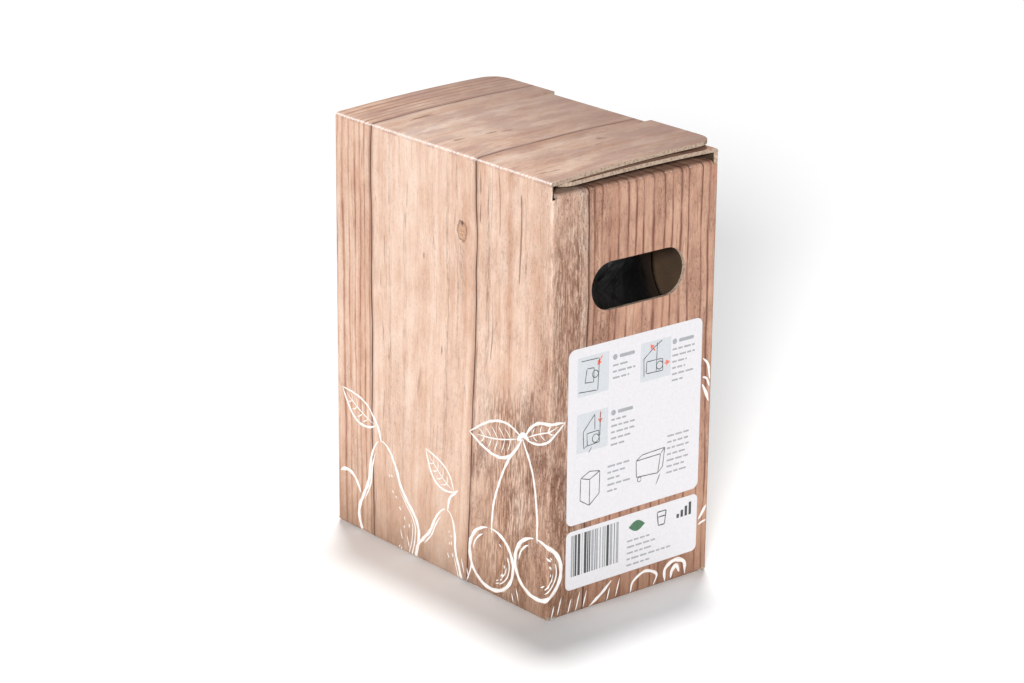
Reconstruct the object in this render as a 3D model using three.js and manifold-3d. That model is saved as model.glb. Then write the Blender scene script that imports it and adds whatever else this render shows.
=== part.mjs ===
// A three-litre bag in box carton of fine-flute corrugated board, standing on its bottom flaps.
// Millimetres, +Z up. The origin is on the floor, under the middle of the carton.
// +X is the short wall with the hand hole, -Y is the long wall that carries the hinged top flap.

import * as THREE from "three";
import { mergeVertices } from "three/addons/utils/BufferGeometryUtils.js";
import Module from "manifold-3d";

const wasm = await Module();
wasm.setup();

// Driving dimensions of the carton
const board = 2.0; // thickness of the corrugated board
const length = 175; // outside, along X
const width = 109.2; // outside, along Y
const height = 227.3; // floor to the top crease of the long walls
const shortWallDrop = 6.3; // top crease of the short walls, below that of the long walls
const foldRadius = 2.4; // outside radius of a crease
const cornerRadius = 1.6; // outside radius of the upright corners
const fit = 0.3; // gap that lets two pieces lie against each other

// Top flaps
const topFlap = {
  backGap: 1.2, // how far the far edge stays inside the back wall
  rise: 4.3, // how far the far edge stands above its crease
  sideInset: 1, // how far each side edge stays inside the walls
  cornerRound: 13,
};
const tongue = {
  width: 73,
  depth: 16,
  wallGap: 1.6, // room between the tongue and the back wall, for the arc that its tip swings through
  bend: 2.6,
  cornerRound: 9,
  sideNotch: 1.5, // cut between the tongue and the ears beside it
  notchDepth: 3.5,
};
const tongueSlot = { sideGap: 1.5, innerGap: 1.5 };
const innerFlap = {
  frontGap: 6.2, // how far the free edge stays behind the front wall
  drop: 1.8, // how far the free edge lies below the back crease
  crown: 0.9, // how far the middle bows up
  sideInset: 0.2,
  cornerRound: 10,
};
const topDustFlap = { reach: 46, sag: 1.4, sideGap: 1.5, cornerRound: 12 };

// Bottom flaps, from the floor up: outer flap, inner flap, two dust flaps
const outerBottom = { frontGap: 8, endGap: 9.3 };
const innerBottom = { backGap: 7 };
const bottomDustFlap = { reach: 49.5, rampRun: 8.5, sideGap: 3.5 };
const frontRampRun = 7.6; // run of the crease ramp that lifts the inner flap over the outer one
const lockTab = {
  fromLeft: [9.3, 105.5], // left end of each tab's notch, from the left end of the front wall
  width: 11.5,
  rise: 12, // how far a tab stands up behind the front wall
  sideGap: 0.35,
};
const notchHeight = 2; // of the open wedge at each tab, at its left end

// Cut-outs of the walls
const handHole = { width: 62, height: 25, fromTop: 58.2, offset: 2.4 };
const glueLap = { width: 30, endGap: 9 };

// Bag, slumped in the carton, with a fold around the tap and a hollow behind the hand hole
const bag = {
  wallGap: 2.6,
  floorGap: 0.3,
  headGap: 4.6, // room under the top dust flaps
  shoulder: 30, // height of the rounding at the top
  shoulderDraw: 0.38, // share of the girth lost at the very top
  foot: 12, // height of the rounding at the bottom
  footDraw: 0.16,
  hollowBelow: 38.6, // how far under the hand hole the bag starts to slump away from it
  hollowFull: 3.4, // and how far above the hole's lower edge it has done so
  hollowDepth: 24,
  tapPocketRadius: 27,
  squareness: 7,
};

// Spout gland and tap; local Z runs from the tap's front towards the bag
const tap = { fromShortWall: 33, frontGap: 0.6 };
const chamber = { radius: 11, boreRadius: 8.5, backReach: 15, seatReach: 9, wall: 2 };
const nozzle = { radius: 8.6, boreRadius: 7, lip: 4.2 }; // lip: past the open valve disc
const seatBoreRadius = 4.5;
const plug = { boreRadius: 8.2, length: 12.5 };
const shoulder = { radius: 16, thickness: 2.5 };
const wing = { span: 42, height: 11, thickness: 2.6 };
const gland = {
  boreRadius: 11.2,
  wall: 2.3,
  neckLength: 14.5,
  flangeRadius: 23,
  flangeThickness: 1.6,
  ridgeRadius: 16.4,
  ridgeThickness: 2,
  ridgeHeights: [2.6, 8.2], // from the mouth of the neck
};
const button = { padRadius: 10.4, padThickness: 1.8, skirt: 6.5, travel: 3.5 };
const stem = { radius: 2, discRadius: 6, discThickness: 2 };
const door = { radius: 21.5, slit: 5.2, slitWidth: 0.5, slits: 18, frameHoleRadius: 23 };

const roundSteps = 40; // facets round a turned piece
const overrun = 5; // how far a cutting tool reaches past what it cuts

// Derived places
const shortWallTop = height - shortWallDrop;
const topFlapReach = width - topFlap.backGap;
const innerFlapReach = width - innerFlap.frontGap;
const handHoleZ = height - handHole.fromTop;
const bagTop = shortWallTop - board - topDustFlap.sag - bag.headGap;
const halfLength = length / 2;
const halfWidth = width / 2;
const innerHalfLength = halfLength - board;
const innerHalfWidth = halfWidth - board;
const innerBottomZ = board + fit;
const bottomDustZ = 2 * (board + fit);
const contentsFloor = bottomDustZ + board;
const tapX = halfLength - tap.fromShortWall;
const seatFace = chamber.seatReach + chamber.wall;
const nozzleReach = seatFace + fit + stem.discThickness + button.travel + nozzle.lip;
const buttonStand = button.travel + button.padThickness + fit;

// Solids and meshes

function toSolid(geometry) {
  const plain = new THREE.BufferGeometry();
  const source = geometry.index ? geometry.toNonIndexed() : geometry;
  plain.setAttribute("position", source.getAttribute("position").clone());
  const merged = mergeVertices(plain, 1e-4);
  return new wasm.Manifold(
    new wasm.Mesh({
      numProp: 3,
      vertProperties: new Float32Array(merged.attributes.position.array),
      triVerts: new Uint32Array(merged.index.array),
    }),
  );
}

function toMesh(name, solid, material) {
  const { vertProperties, triVerts } = solid.getMesh();
  const geometry = new THREE.BufferGeometry();
  geometry.setAttribute("position", new THREE.BufferAttribute(new Float32Array(vertProperties), 3));
  geometry.setIndex(new THREE.BufferAttribute(new Uint32Array(triVerts), 1));
  const faceted = geometry.toNonIndexed();
  faceted.computeVertexNormals();
  const mesh = new THREE.Mesh(faceted, material);
  mesh.name = name;
  return mesh;
}

function block([x0, x1], [y0, y1], [z0, z1]) {
  const geometry = new THREE.BoxGeometry(x1 - x0, y1 - y0, z1 - z0);
  geometry.translate((x0 + x1) / 2, (y0 + y1) / 2, (z0 + z1) / 2);
  return toSolid(geometry);
}

function extrude(shape, depth) {
  return new THREE.ExtrudeGeometry(shape, { depth, bevelEnabled: false, curveSegments: 8 });
}

// Extrudes a YZ outline along X.
function alongX(shape, x0, x1) {
  const geometry = extrude(shape, x1 - x0);
  const turn = new THREE.Matrix4().makeBasis(
    new THREE.Vector3(0, 1, 0),
    new THREE.Vector3(0, 0, 1),
    new THREE.Vector3(1, 0, 0),
  );
  geometry.applyMatrix4(turn);
  geometry.translate(x0, 0, 0);
  return toSolid(geometry);
}

// Extrudes an XZ outline along Y.
function alongY(shape, y0, y1) {
  const geometry = extrude(shape, y1 - y0);
  const turn = new THREE.Matrix4().makeBasis(
    new THREE.Vector3(1, 0, 0),
    new THREE.Vector3(0, 0, 1),
    new THREE.Vector3(0, -1, 0),
  );
  geometry.applyMatrix4(turn);
  geometry.translate(0, y1, 0);
  return toSolid(geometry);
}

// Extrudes an XY outline along Z.
function alongZ(shape, z0, z1) {
  const geometry = extrude(shape, z1 - z0);
  geometry.translate(0, 0, z0);
  return toSolid(geometry);
}

// Outline of a sheet of the board's thickness that lies to the left of its outer line.
function sheetOutline(path, divisions = 6) {
  const line = path.getPoints(divisions);
  const outer = line.filter((p, i) => i === 0 || p.distanceTo(line[i - 1]) > 1e-6);
  const inner = outer.map((p, i) => {
    const before = outer[Math.max(i - 1, 0)];
    const after = outer[Math.min(i + 1, outer.length - 1)];
    const arriving = p.clone().sub(before).normalize();
    const leaving = after.clone().sub(p).normalize();
    const along = arriving.clone().add(leaving).normalize();
    const reference = arriving.lengthSq() > 0 ? arriving : leaving;
    const stretch = 1 / Math.max(along.dot(reference), 0.5);
    return new THREE.Vector2(p.x - along.y * board * stretch, p.y + along.x * board * stretch);
  });
  return new THREE.Shape([...outer, ...inner.reverse()]);
}

function roundedRectangle(x0, x1, y0, y1, radius) {
  const shape = new THREE.Shape();
  shape.moveTo(x0 + radius, y0);
  shape.lineTo(x1 - radius, y0);
  shape.absarc(x1 - radius, y0 + radius, radius, -Math.PI / 2, 0);
  shape.lineTo(x1, y1 - radius);
  shape.absarc(x1 - radius, y1 - radius, radius, 0, Math.PI / 2);
  shape.lineTo(x0 + radius, y1);
  shape.absarc(x0 + radius, y1 - radius, radius, Math.PI / 2, Math.PI);
  shape.lineTo(x0, y0 + radius);
  shape.absarc(x0 + radius, y0 + radius, radius, Math.PI, 1.5 * Math.PI);
  return shape;
}

// Rounded at y1 only, where a flap has its free corners.
function flapOutline(x0, x1, y0, y1, radius) {
  const shape = new THREE.Shape();
  const side = Math.sign(y1 - y0);
  shape.moveTo(x0, y0);
  shape.lineTo(x1, y0);
  shape.lineTo(x1, y1 - side * radius);
  shape.quadraticCurveTo(x1, y1, x1 - radius, y1);
  shape.lineTo(x0 + radius, y1);
  shape.quadraticCurveTo(x0, y1, x0, y1 - side * radius);
  return shape;
}

// A turned piece about local Z. Each profile point is [radius, height].
function turned(profile) {
  const points = profile.map(([radius, z]) => new THREE.Vector2(radius, z));
  const geometry = new THREE.LatheGeometry(points, roundSteps);
  geometry.rotateX(Math.PI / 2);
  return toSolid(geometry);
}

function rod(radius, z0, z1) {
  return turned([
    [0, z0],
    [radius, z0],
    [radius, z1],
    [0, z1],
  ]);
}

// The same rod, laid along local X at a given height.
function rodAlongX(radius, x0, x1, z) {
  return rod(radius, x0, x1).rotate([0, 90, 0]).translate([0, 0, z]);
}

// Carton body: one folded blank without its outer top flap

function frontSheet() {
  const path = new THREE.Path();
  path.moveTo(-halfWidth, height);
  path.lineTo(-halfWidth, foldRadius);
  path.absarc(-halfWidth + foldRadius, foldRadius, foldRadius, Math.PI, 1.5 * Math.PI);
  path.lineTo(-halfWidth + frontRampRun, innerBottomZ);
  path.lineTo(innerHalfWidth - innerBottom.backGap, innerBottomZ);
  const mitre = new THREE.Shape([
    new THREE.Vector2(-halfWidth, height),
    new THREE.Vector2(-halfWidth + board + overrun, height - board - overrun),
    new THREE.Vector2(-halfWidth + board + overrun, height + overrun),
    new THREE.Vector2(-halfWidth, height + overrun),
  ]);
  const flapStart = -halfWidth + foldRadius;
  const flapEnd = halfLength - outerBottom.endGap;
  let sheet = alongX(sheetOutline(path), -halfLength, halfLength)
    .subtract(alongX(mitre, -halfLength - overrun, halfLength + overrun));
  for (const side of [-1, 1]) {
    const ends = [side * flapEnd, side * (halfLength + overrun)].sort((a, b) => a - b);
    sheet = sheet.subtract(block(ends, [flapStart, halfWidth], [-overrun, contentsFloor]));
  }
  return sheet;
}

function backSheet() {
  const path = new THREE.Path();
  path.moveTo(-halfWidth, 0);
  path.lineTo(halfWidth - foldRadius, 0);
  path.absarc(halfWidth - foldRadius, foldRadius, foldRadius, 1.5 * Math.PI, 2 * Math.PI);
  path.lineTo(halfWidth, height - foldRadius);
  path.absarc(halfWidth - foldRadius, height - foldRadius, foldRadius, 0, Math.PI / 2);
  path.quadraticCurveTo(
    halfWidth - innerFlapReach / 2,
    height - innerFlap.drop / 2 + 2 * innerFlap.crown,
    halfWidth - innerFlapReach,
    height - innerFlap.drop,
  );
  return alongX(sheetOutline(path), -halfLength, halfLength)
    .subtract(outerBottomOffcut())
    .subtract(innerFlapOffcut())
    .subtract(tongueSlotCut());
}

// What the die cuts away around the outer bottom flap.
function outerBottomOffcut() {
  const zone = [-overrun, board + fit / 2];
  const flapEnd = halfLength - outerBottom.endGap;
  const frontEdge = -halfWidth + outerBottom.frontGap;
  const blank = block([-length, length], [-width, halfWidth - foldRadius], zone);
  const flap = block([-flapEnd, flapEnd], [frontEdge, halfWidth], [-2 * overrun, 2 * overrun]);
  return blank.subtract(flap);
}

function innerFlapOffcut() {
  const side = halfLength - innerFlap.sideInset;
  const outline = flapOutline(
    -side,
    side,
    halfWidth + overrun,
    halfWidth - innerFlapReach,
    innerFlap.cornerRound,
  );
  const zone = [height - foldRadius - innerFlap.drop - overrun, height + overrun];
  const blank = block([-length, length], [-width, innerHalfWidth], zone);
  return blank.subtract(alongZ(outline, zone[0] - overrun, zone[1] + overrun));
}

function tongueSlotCut() {
  const half = tongue.width / 2 + tongueSlot.sideGap;
  const inner = innerHalfWidth - tongue.wallGap - board - tongueSlot.innerGap;
  return block([-half, half], [inner, innerHalfWidth], [height - 3 * board, height + overrun]);
}

// One short wall with its dust flaps; side is 1 for the wall at +X and -1 for the wall at -X.
function shortSheet(side) {
  const path = new THREE.Path();
  const wallX = halfLength;
  path.moveTo(wallX - bottomDustFlap.reach, bottomDustZ);
  path.lineTo(wallX - bottomDustFlap.rampRun, bottomDustZ);
  path.lineTo(wallX - foldRadius, 0);
  path.absarc(wallX - foldRadius, foldRadius, foldRadius, 1.5 * Math.PI, 2 * Math.PI);
  path.lineTo(wallX, shortWallTop - foldRadius);
  path.absarc(wallX - foldRadius, shortWallTop - foldRadius, foldRadius, 0, Math.PI / 2);
  path.lineTo(wallX - topDustFlap.reach, shortWallTop - topDustFlap.sag);
  const wholeHeight = [-overrun, height + overrun];
  const flapsEnd = innerHalfLength - (foldRadius - board);
  const bottomSide = innerHalfWidth - bottomDustFlap.sideGap;
  const topSide = innerHalfWidth - topDustFlap.sideGap;
  let sheet = alongY(sheetOutline(path), -halfWidth + board / 2, halfWidth - board / 2);
  for (const edge of [-1, 1]) {
    const bottomStrip = [edge * bottomSide, edge * width].sort((a, b) => a - b);
    const topStrip = [edge * topSide, edge * width].sort((a, b) => a - b);
    sheet = sheet
      .subtract(block([0, flapsEnd], bottomStrip, [wholeHeight[0], height / 2]))
      .subtract(block([0, flapsEnd], topStrip, [height / 2, wholeHeight[1]]));
  }
  const freeEdge = wallX - topDustFlap.reach;
  const rounded = roundedRectangle(
    freeEdge,
    length,
    -topSide - overrun,
    topSide + overrun,
    topDustFlap.cornerRound,
  );
  sheet = sheet.intersect(alongZ(rounded, ...wholeHeight).add(
    block([0, length], [-width, width], [wholeHeight[0], height / 2]),
  ));
  return side > 0 ? sheet : sheet.mirror([1, 0, 0]);
}

// The glued seam strip, on the inside of the back wall.
function glueLapStrip() {
  const start = -innerHalfLength;
  return block(
    [start - board / 2, start + glueLap.width],
    [innerHalfWidth - board, innerHalfWidth + board / 2],
    [contentsFloor + glueLap.endGap, shortWallTop - board - glueLap.endGap],
  );
}

function handHoleCut() {
  const radius = handHole.height / 2;
  const y0 = handHole.offset - handHole.width / 2;
  const y1 = handHole.offset + handHole.width / 2;
  const z0 = handHoleZ - radius;
  const z1 = handHoleZ + radius;
  return alongX(roundedRectangle(y0, y1, z0, z1, radius), innerHalfLength - overrun, length);
}

// Left and right end of each lock tab's notch, along X.
function tabSpans() {
  return lockTab.fromLeft.map((start) => [
    -halfLength + start,
    -halfLength + start + lockTab.width,
  ]);
}

// The slot behind the front crease and the open wedge that shows beside it.
function lockSlotCut([x0, x1]) {
  const slot = block(
    [x0, x1],
    [-innerHalfWidth, -halfWidth + outerBottom.frontGap],
    [-overrun, innerBottomZ + board + fit],
  );
  const wedge = new THREE.Shape([
    new THREE.Vector2(x0, -overrun),
    new THREE.Vector2(x1, -overrun),
    new THREE.Vector2(x1, 0.2 * notchHeight),
    new THREE.Vector2(x0, notchHeight),
  ]);
  return slot.add(alongY(wedge, -halfWidth - overrun, -innerHalfWidth + board / 2));
}

// A tab of the outer bottom flap, folded up behind the front wall.
function lockTabTongue([x0, x1]) {
  const face = -innerHalfWidth + fit;
  const path = new THREE.Path();
  path.moveTo(face, lockTab.rise);
  path.lineTo(face, foldRadius);
  path.absarc(face + foldRadius, foldRadius, foldRadius, Math.PI, 1.5 * Math.PI);
  path.lineTo(-halfWidth + outerBottom.frontGap + board, 0);
  return alongX(sheetOutline(path), x0 + lockTab.sideGap, x1 - lockTab.sideGap);
}

// Perforation of the tap door, and the hole that frames it in the flaps above.
function tapDoorCut() {
  let cut = rod(door.frameHoleRadius, board + fit / 2, contentsFloor + overrun);
  for (let i = 0; i < door.slits; i += 1) {
    const half = door.slit / 2;
    const slit = block(
      [-half, half],
      [door.radius - door.slitWidth / 2, door.radius + door.slitWidth / 2],
      [-overrun, board + fit],
    );
    cut = cut.add(slit.rotate([0, 0, (360 * (i + 0.5)) / door.slits]));
  }
  return cut.translate([tapX, 0, 0]);
}

function cartonBody() {
  const upright = roundedRectangle(-halfLength, halfLength, -halfWidth, halfWidth, cornerRadius);
  let front = frontSheet();
  let back = backSheet();
  for (const span of tabSpans()) {
    front = front.subtract(lockSlotCut(span));
    back = back.add(lockTabTongue(span));
  }
  return front
    .add(back)
    .add(shortSheet(1))
    .add(shortSheet(-1))
    .add(glueLapStrip())
    .subtract(handHoleCut())
    .subtract(tapDoorCut())
    .intersect(alongZ(upright, -overrun, height + overrun));
}

// Outer top flap, closed, with its tuck tongue

function topFlapPath() {
  const path = new THREE.Path();
  const farZ = height + topFlap.rise;
  path.moveTo(-halfWidth + topFlapReach, farZ);
  path.quadraticCurveTo(-halfWidth + topFlapReach / 2, farZ, -halfWidth, height);
  return path;
}

function topFlapPlate() {
  const side = halfLength - topFlap.sideInset;
  const outline = flapOutline(
    -side,
    side,
    -halfWidth - overrun,
    -halfWidth + topFlapReach,
    topFlap.cornerRound,
  );
  const notchY = tongueFace() - tongue.bend - tongue.notchDepth;
  const notchHalf = tongue.width / 2 + tongue.sideNotch;
  return alongX(sheetOutline(topFlapPath(), 14), -side, side)
    .intersect(alongZ(outline, height - overrun, height + topFlap.rise + overrun))
    .subtract(block([-notchHalf, notchHalf], [notchY, width], [0, 2 * height]));
}

function tongueFace() {
  return innerHalfWidth - tongue.wallGap;
}

// Height of the flap's upper face at a given Y, on the same parabola as its path.
function topFlapHeightAt(y) {
  const left = 1 - (y + halfWidth) / topFlapReach;
  return height + topFlap.rise * (1 - left * left);
}

function topFlapTongue() {
  const face = tongueFace();
  const bendY = face - tongue.bend;
  const topZ = topFlapHeightAt(bendY);
  const rootY = bendY - 2 * tongue.notchDepth;
  const path = new THREE.Path();
  path.moveTo(face, topZ - tongue.depth);
  path.lineTo(face, topZ - tongue.bend);
  path.absarc(bendY, topZ - tongue.bend, tongue.bend, 0, Math.PI / 2);
  path.lineTo(rootY, topFlapHeightAt(rootY));
  const half = tongue.width / 2;
  const corners = flapOutline(-half, half, 2 * height, topZ - tongue.depth, tongue.cornerRound);
  return alongX(sheetOutline(path), -half, half).intersect(alongY(corners, 0, width));
}

// The mitre at the crease leaves the fit gap to the wall and lets the flap swing right over.
function topFlapSolid() {
  const gap = fit * Math.SQRT2;
  const mitre = new THREE.Shape([
    new THREE.Vector2(-halfWidth - overrun, height - overrun - 2 * board),
    new THREE.Vector2(-halfWidth + gap + 2 * board, height - 2 * board),
    new THREE.Vector2(-halfWidth + gap, height),
    new THREE.Vector2(-halfWidth + gap, height + overrun),
    new THREE.Vector2(-halfWidth - overrun, height + overrun),
  ]);
  return topFlapPlate().add(topFlapTongue()).subtract(alongX(mitre, -length, length));
}

// Bag: a loft of rounded rectangles that ends in a point fan at each end

function smooth(t) {
  const s = Math.min(Math.max(t, 0), 1);
  return s * s * (3 - 2 * s);
}

// Share of the full girth at a height: quarter rounds at the foot and the shoulder.
function bagGirth(z, bottom) {
  const foot = Math.min((z - bottom) / bag.foot, 1);
  const head = Math.min((bagTop - z) / bag.shoulder, 1);
  const footShare = 1 - bag.footDraw * (1 - Math.sqrt(1 - (1 - foot) ** 2));
  const headShare = 1 - bag.shoulderDraw * (1 - Math.sqrt(1 - (1 - head) ** 2));
  return Math.min(footShare, headShare);
}

function bagSolid() {
  const bottom = contentsFloor + bag.floorGap;
  const around = 48;
  const levels = 26;
  const hollowStart = handHoleZ - handHole.height / 2 - bag.hollowBelow;
  const hollowEnd = handHoleZ - handHole.height / 2 + bag.hollowFull;
  const positions = [];
  const indices = [];
  for (let j = 0; j <= levels; j += 1) {
    const spread = 0.5 - 0.5 * Math.cos((Math.PI * j) / levels);
    const z = bottom + (bagTop - bottom) * spread;
    const girth = bagGirth(z, bottom);
    const hollow = bag.hollowDepth * smooth((z - hollowStart) / (hollowEnd - hollowStart));
    const x0 = -(innerHalfLength - bag.wallGap) * girth;
    const x1 = (innerHalfLength - bag.wallGap) * girth - hollow;
    const halfY = (innerHalfWidth - bag.wallGap) * girth;
    for (let i = 0; i < around; i += 1) {
      const angle = (2 * Math.PI * i) / around;
      const c = Math.cos(angle);
      const s = Math.sin(angle);
      const reach = (Math.abs(c) ** bag.squareness + Math.abs(s) ** bag.squareness)
        ** (-1 / bag.squareness);
      positions.push((x0 + x1) / 2 + ((x1 - x0) / 2) * c * reach, halfY * s * reach, z);
    }
  }
  for (let j = 0; j < levels; j += 1) {
    for (let i = 0; i < around; i += 1) {
      const next = (i + 1) % around;
      const a = j * around + i;
      const b = j * around + next;
      indices.push(a, b, b + around, a, b + around, a + around);
    }
  }
  const last = levels * around;
  for (let i = 1; i < around - 1; i += 1) {
    indices.push(0, i + 1, i);
    indices.push(last, last + i, last + i + 1);
  }
  const geometry = new THREE.BufferGeometry();
  geometry.setAttribute("position", new THREE.Float32BufferAttribute(positions, 3));
  geometry.setIndex(indices);
  const pocketTop = glandTop() + bag.floorGap;
  const pocket = rod(bag.tapPocketRadius, 0, pocketTop).translate([tapX, 0, 0]);
  return toSolid(geometry).subtract(pocket);
}

// Heights of the tap's pieces above the floor
function chamberZ() {
  return board + tap.frontGap + chamber.radius;
}

function shoulderZ() {
  return chamberZ() + chamber.radius - chamber.wall + plug.length / 5;
}

function glandMouthZ() {
  return shoulderZ() + shoulder.thickness + fit;
}

function glandTop() {
  return glandMouthZ() + gland.neckLength + gland.flangeThickness;
}

// Gland: a neck with two snap ridges under the flange that the film is welded to
function glandSolid() {
  const mouth = glandMouthZ();
  const neckRadius = gland.boreRadius + gland.wall;
  const neckTop = mouth + gland.neckLength;
  const profile = [
    [gland.boreRadius, mouth],
    [neckRadius, mouth],
  ];
  for (const low of gland.ridgeHeights) {
    profile.push([neckRadius, mouth + low]);
    profile.push([gland.ridgeRadius, mouth + low]);
    profile.push([gland.ridgeRadius, mouth + low + gland.ridgeThickness]);
    profile.push([neckRadius, mouth + low + gland.ridgeThickness]);
  }
  profile.push([neckRadius, neckTop]);
  profile.push([gland.flangeRadius, neckTop]);
  profile.push([gland.flangeRadius, neckTop + gland.flangeThickness]);
  profile.push([gland.boreRadius, neckTop + gland.flangeThickness]);
  profile.push([gland.boreRadius, mouth]);
  return turned(profile);
}

// Tap body: a plug for the gland, a cross chamber with the valve seat, a nozzle and two finger wings
function tapBodySolid() {
  const z = chamberZ();
  const shoulderBase = shoulderZ();
  const plugRadius = gland.boreRadius - fit;
  const plugTop = glandMouthZ() + plug.length;
  const wingX = -chamber.backReach;
  const wings = roundedRectangle(-wing.span / 2, wing.span / 2, z - wing.height / 2,
    z + wing.height / 2, wing.height / 2 - 0.5);
  const outside = rodAlongX(chamber.radius, -chamber.backReach, chamber.seatReach + chamber.wall, z)
    .add(rodAlongX(nozzle.radius, 0, nozzleReach, z))
    .add(rod(plugRadius, z, plugTop))
    .add(rod(shoulder.radius, shoulderBase, shoulderBase + shoulder.thickness))
    .add(alongX(wings, wingX, wingX + wing.thickness));
  return outside
    .subtract(rodAlongX(chamber.boreRadius, -2 * chamber.backReach, chamber.seatReach, z))
    .subtract(rodAlongX(seatBoreRadius, 0, nozzleReach, z))
    .subtract(rodAlongX(nozzle.boreRadius, chamber.seatReach + chamber.wall, 2 * nozzleReach, z))
    .subtract(rod(plug.boreRadius, z, plugTop + overrun));
}

// Push button: a skirt that slides in the chamber under a finger pad
function buttonSolid() {
  const skirtRadius = chamber.boreRadius - fit;
  const padX = -chamber.backReach - buttonStand;
  const dome = turned([
    [0, padX],
    [button.padRadius - button.padThickness, padX],
    [button.padRadius, padX + button.padThickness],
    [skirtRadius, padX + button.padThickness],
    [skirtRadius, -chamber.backReach + button.skirt],
    [0, -chamber.backReach + button.skirt],
  ]);
  return dome.rotate([0, 90, 0]).translate([0, 0, chamberZ()]);
}

// Valve stem: a rod through the seat, with a sealing disc on its outlet side
function stemSolid() {
  const start = -chamber.backReach + button.skirt + fit;
  const piece = turned([
    [0, start],
    [stem.radius, start],
    [stem.radius, seatFace + fit],
    [stem.discRadius, seatFace + fit],
    [stem.discRadius, seatFace + fit + stem.discThickness],
    [0, seatFace + fit + stem.discThickness],
  ]);
  return piece.rotate([0, 90, 0]).translate([0, 0, chamberZ()]);
}

// Finishes
const printedBoard = new THREE.MeshStandardMaterial({ color: 0xc9a084, roughness: 0.75, metalness: 0 });
const flapBoard = new THREE.MeshStandardMaterial({ color: 0xcba595, roughness: 0.75, metalness: 0 });
const film = new THREE.MeshStandardMaterial({ color: 0xb9bcc0, roughness: 0.3, metalness: 0.6 });
const glandPlastic = new THREE.MeshStandardMaterial({ color: 0xe9e9e6, roughness: 0.45, metalness: 0 });
const tapPlastic = new THREE.MeshStandardMaterial({ color: 0xf2f2f0, roughness: 0.4, metalness: 0 });
const buttonPlastic = new THREE.MeshStandardMaterial({ color: 0xb3342c, roughness: 0.4, metalness: 0 });
const sealPlastic = new THREE.MeshStandardMaterial({ color: 0x3c3c3e, roughness: 0.7, metalness: 0 });

// Assembly
const tapAssembly = new THREE.Group();
tapAssembly.position.set(tapX, 0, 0);
tapAssembly.add(
  toMesh("spout_gland", glandSolid(), glandPlastic),
  toMesh("tap_body", tapBodySolid(), tapPlastic),
  toMesh("tap_button", buttonSolid(), buttonPlastic),
  toMesh("valve_stem", stemSolid(), sealPlastic),
);

const cartonPack = new THREE.Group();
cartonPack.add(
  toMesh("carton_body", cartonBody(), printedBoard),
  toMesh("top_flap", topFlapSolid(), flapBoard),
  toMesh("bag", bagSolid(), film),
  tapAssembly,
);

export default cartonPack;
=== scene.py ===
"""Looks of a three-litre bag in box carton with a wood plank print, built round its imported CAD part."""

import logging
import math
from collections.abc import Callable
from dataclasses import dataclass, field
from enum import StrEnum

import bpy
import numpy as np
from mathutils import Matrix, Vector


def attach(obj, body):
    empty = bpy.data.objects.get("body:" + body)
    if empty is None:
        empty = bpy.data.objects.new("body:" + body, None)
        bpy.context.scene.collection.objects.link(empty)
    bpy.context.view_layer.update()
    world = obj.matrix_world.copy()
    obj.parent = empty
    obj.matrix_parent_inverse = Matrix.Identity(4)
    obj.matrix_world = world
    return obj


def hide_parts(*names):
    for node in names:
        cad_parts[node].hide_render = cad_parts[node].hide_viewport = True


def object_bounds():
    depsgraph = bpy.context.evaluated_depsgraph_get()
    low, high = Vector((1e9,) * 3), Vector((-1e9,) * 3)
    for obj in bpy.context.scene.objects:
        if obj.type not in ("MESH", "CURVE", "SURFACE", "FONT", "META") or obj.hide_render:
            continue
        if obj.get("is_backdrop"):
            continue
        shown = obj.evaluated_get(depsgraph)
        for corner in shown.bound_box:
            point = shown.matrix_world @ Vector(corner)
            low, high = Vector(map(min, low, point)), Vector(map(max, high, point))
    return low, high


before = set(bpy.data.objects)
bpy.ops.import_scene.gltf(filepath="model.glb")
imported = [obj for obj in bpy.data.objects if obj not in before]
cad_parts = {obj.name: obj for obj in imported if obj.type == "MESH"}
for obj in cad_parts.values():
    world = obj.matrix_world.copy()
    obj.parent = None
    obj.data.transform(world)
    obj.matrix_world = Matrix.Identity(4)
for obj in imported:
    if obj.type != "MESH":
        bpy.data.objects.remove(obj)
cad_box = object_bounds()

LOG = logging.getLogger("carton")
MM = 0.001


class Body(StrEnum):
    """The CAD bodies that carry the scene's pieces."""

    CARTON = "carton"
    LID = "lid"


class Slot(StrEnum):
    """The record's material slots that the scene's pieces stand for."""

    PRINTED_BOARD = "printed_board"
    FLAP_BOARD = "flap_board"
    BARRIER_FILM = "barrier_film"


# Colours and nodes


def to_linear(code: str) -> tuple[float, float, float, float]:
    """Turns an sRGB hex colour into the linear colour that a socket takes.

    Args:
        code: The colour as six hex digits after a hash.

    Returns:
        Red, green, blue and an alpha of one.
    """
    parts = [int(code[i : i + 2], 16) / 255 for i in (1, 3, 5)]
    linear = [p / 12.92 if p <= 0.04045 else ((p + 0.055) / 1.055) ** 2.4 for p in parts]
    return (linear[0], linear[1], linear[2], 1.0)


def fill_sockets(node: bpy.types.Node, inputs: dict) -> None:
    """Sets or links a node's inputs.

    Args:
        node: The node.
        inputs: Socket name or number to a value, a socket, or a node whose first output is meant.
    """
    for key, value in inputs.items():
        if isinstance(value, bpy.types.Node):
            value = value.outputs[0]
        if isinstance(value, bpy.types.NodeSocket):
            node.id_data.links.new(value, node.inputs[key])
        else:
            node.inputs[key].default_value = value


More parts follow.
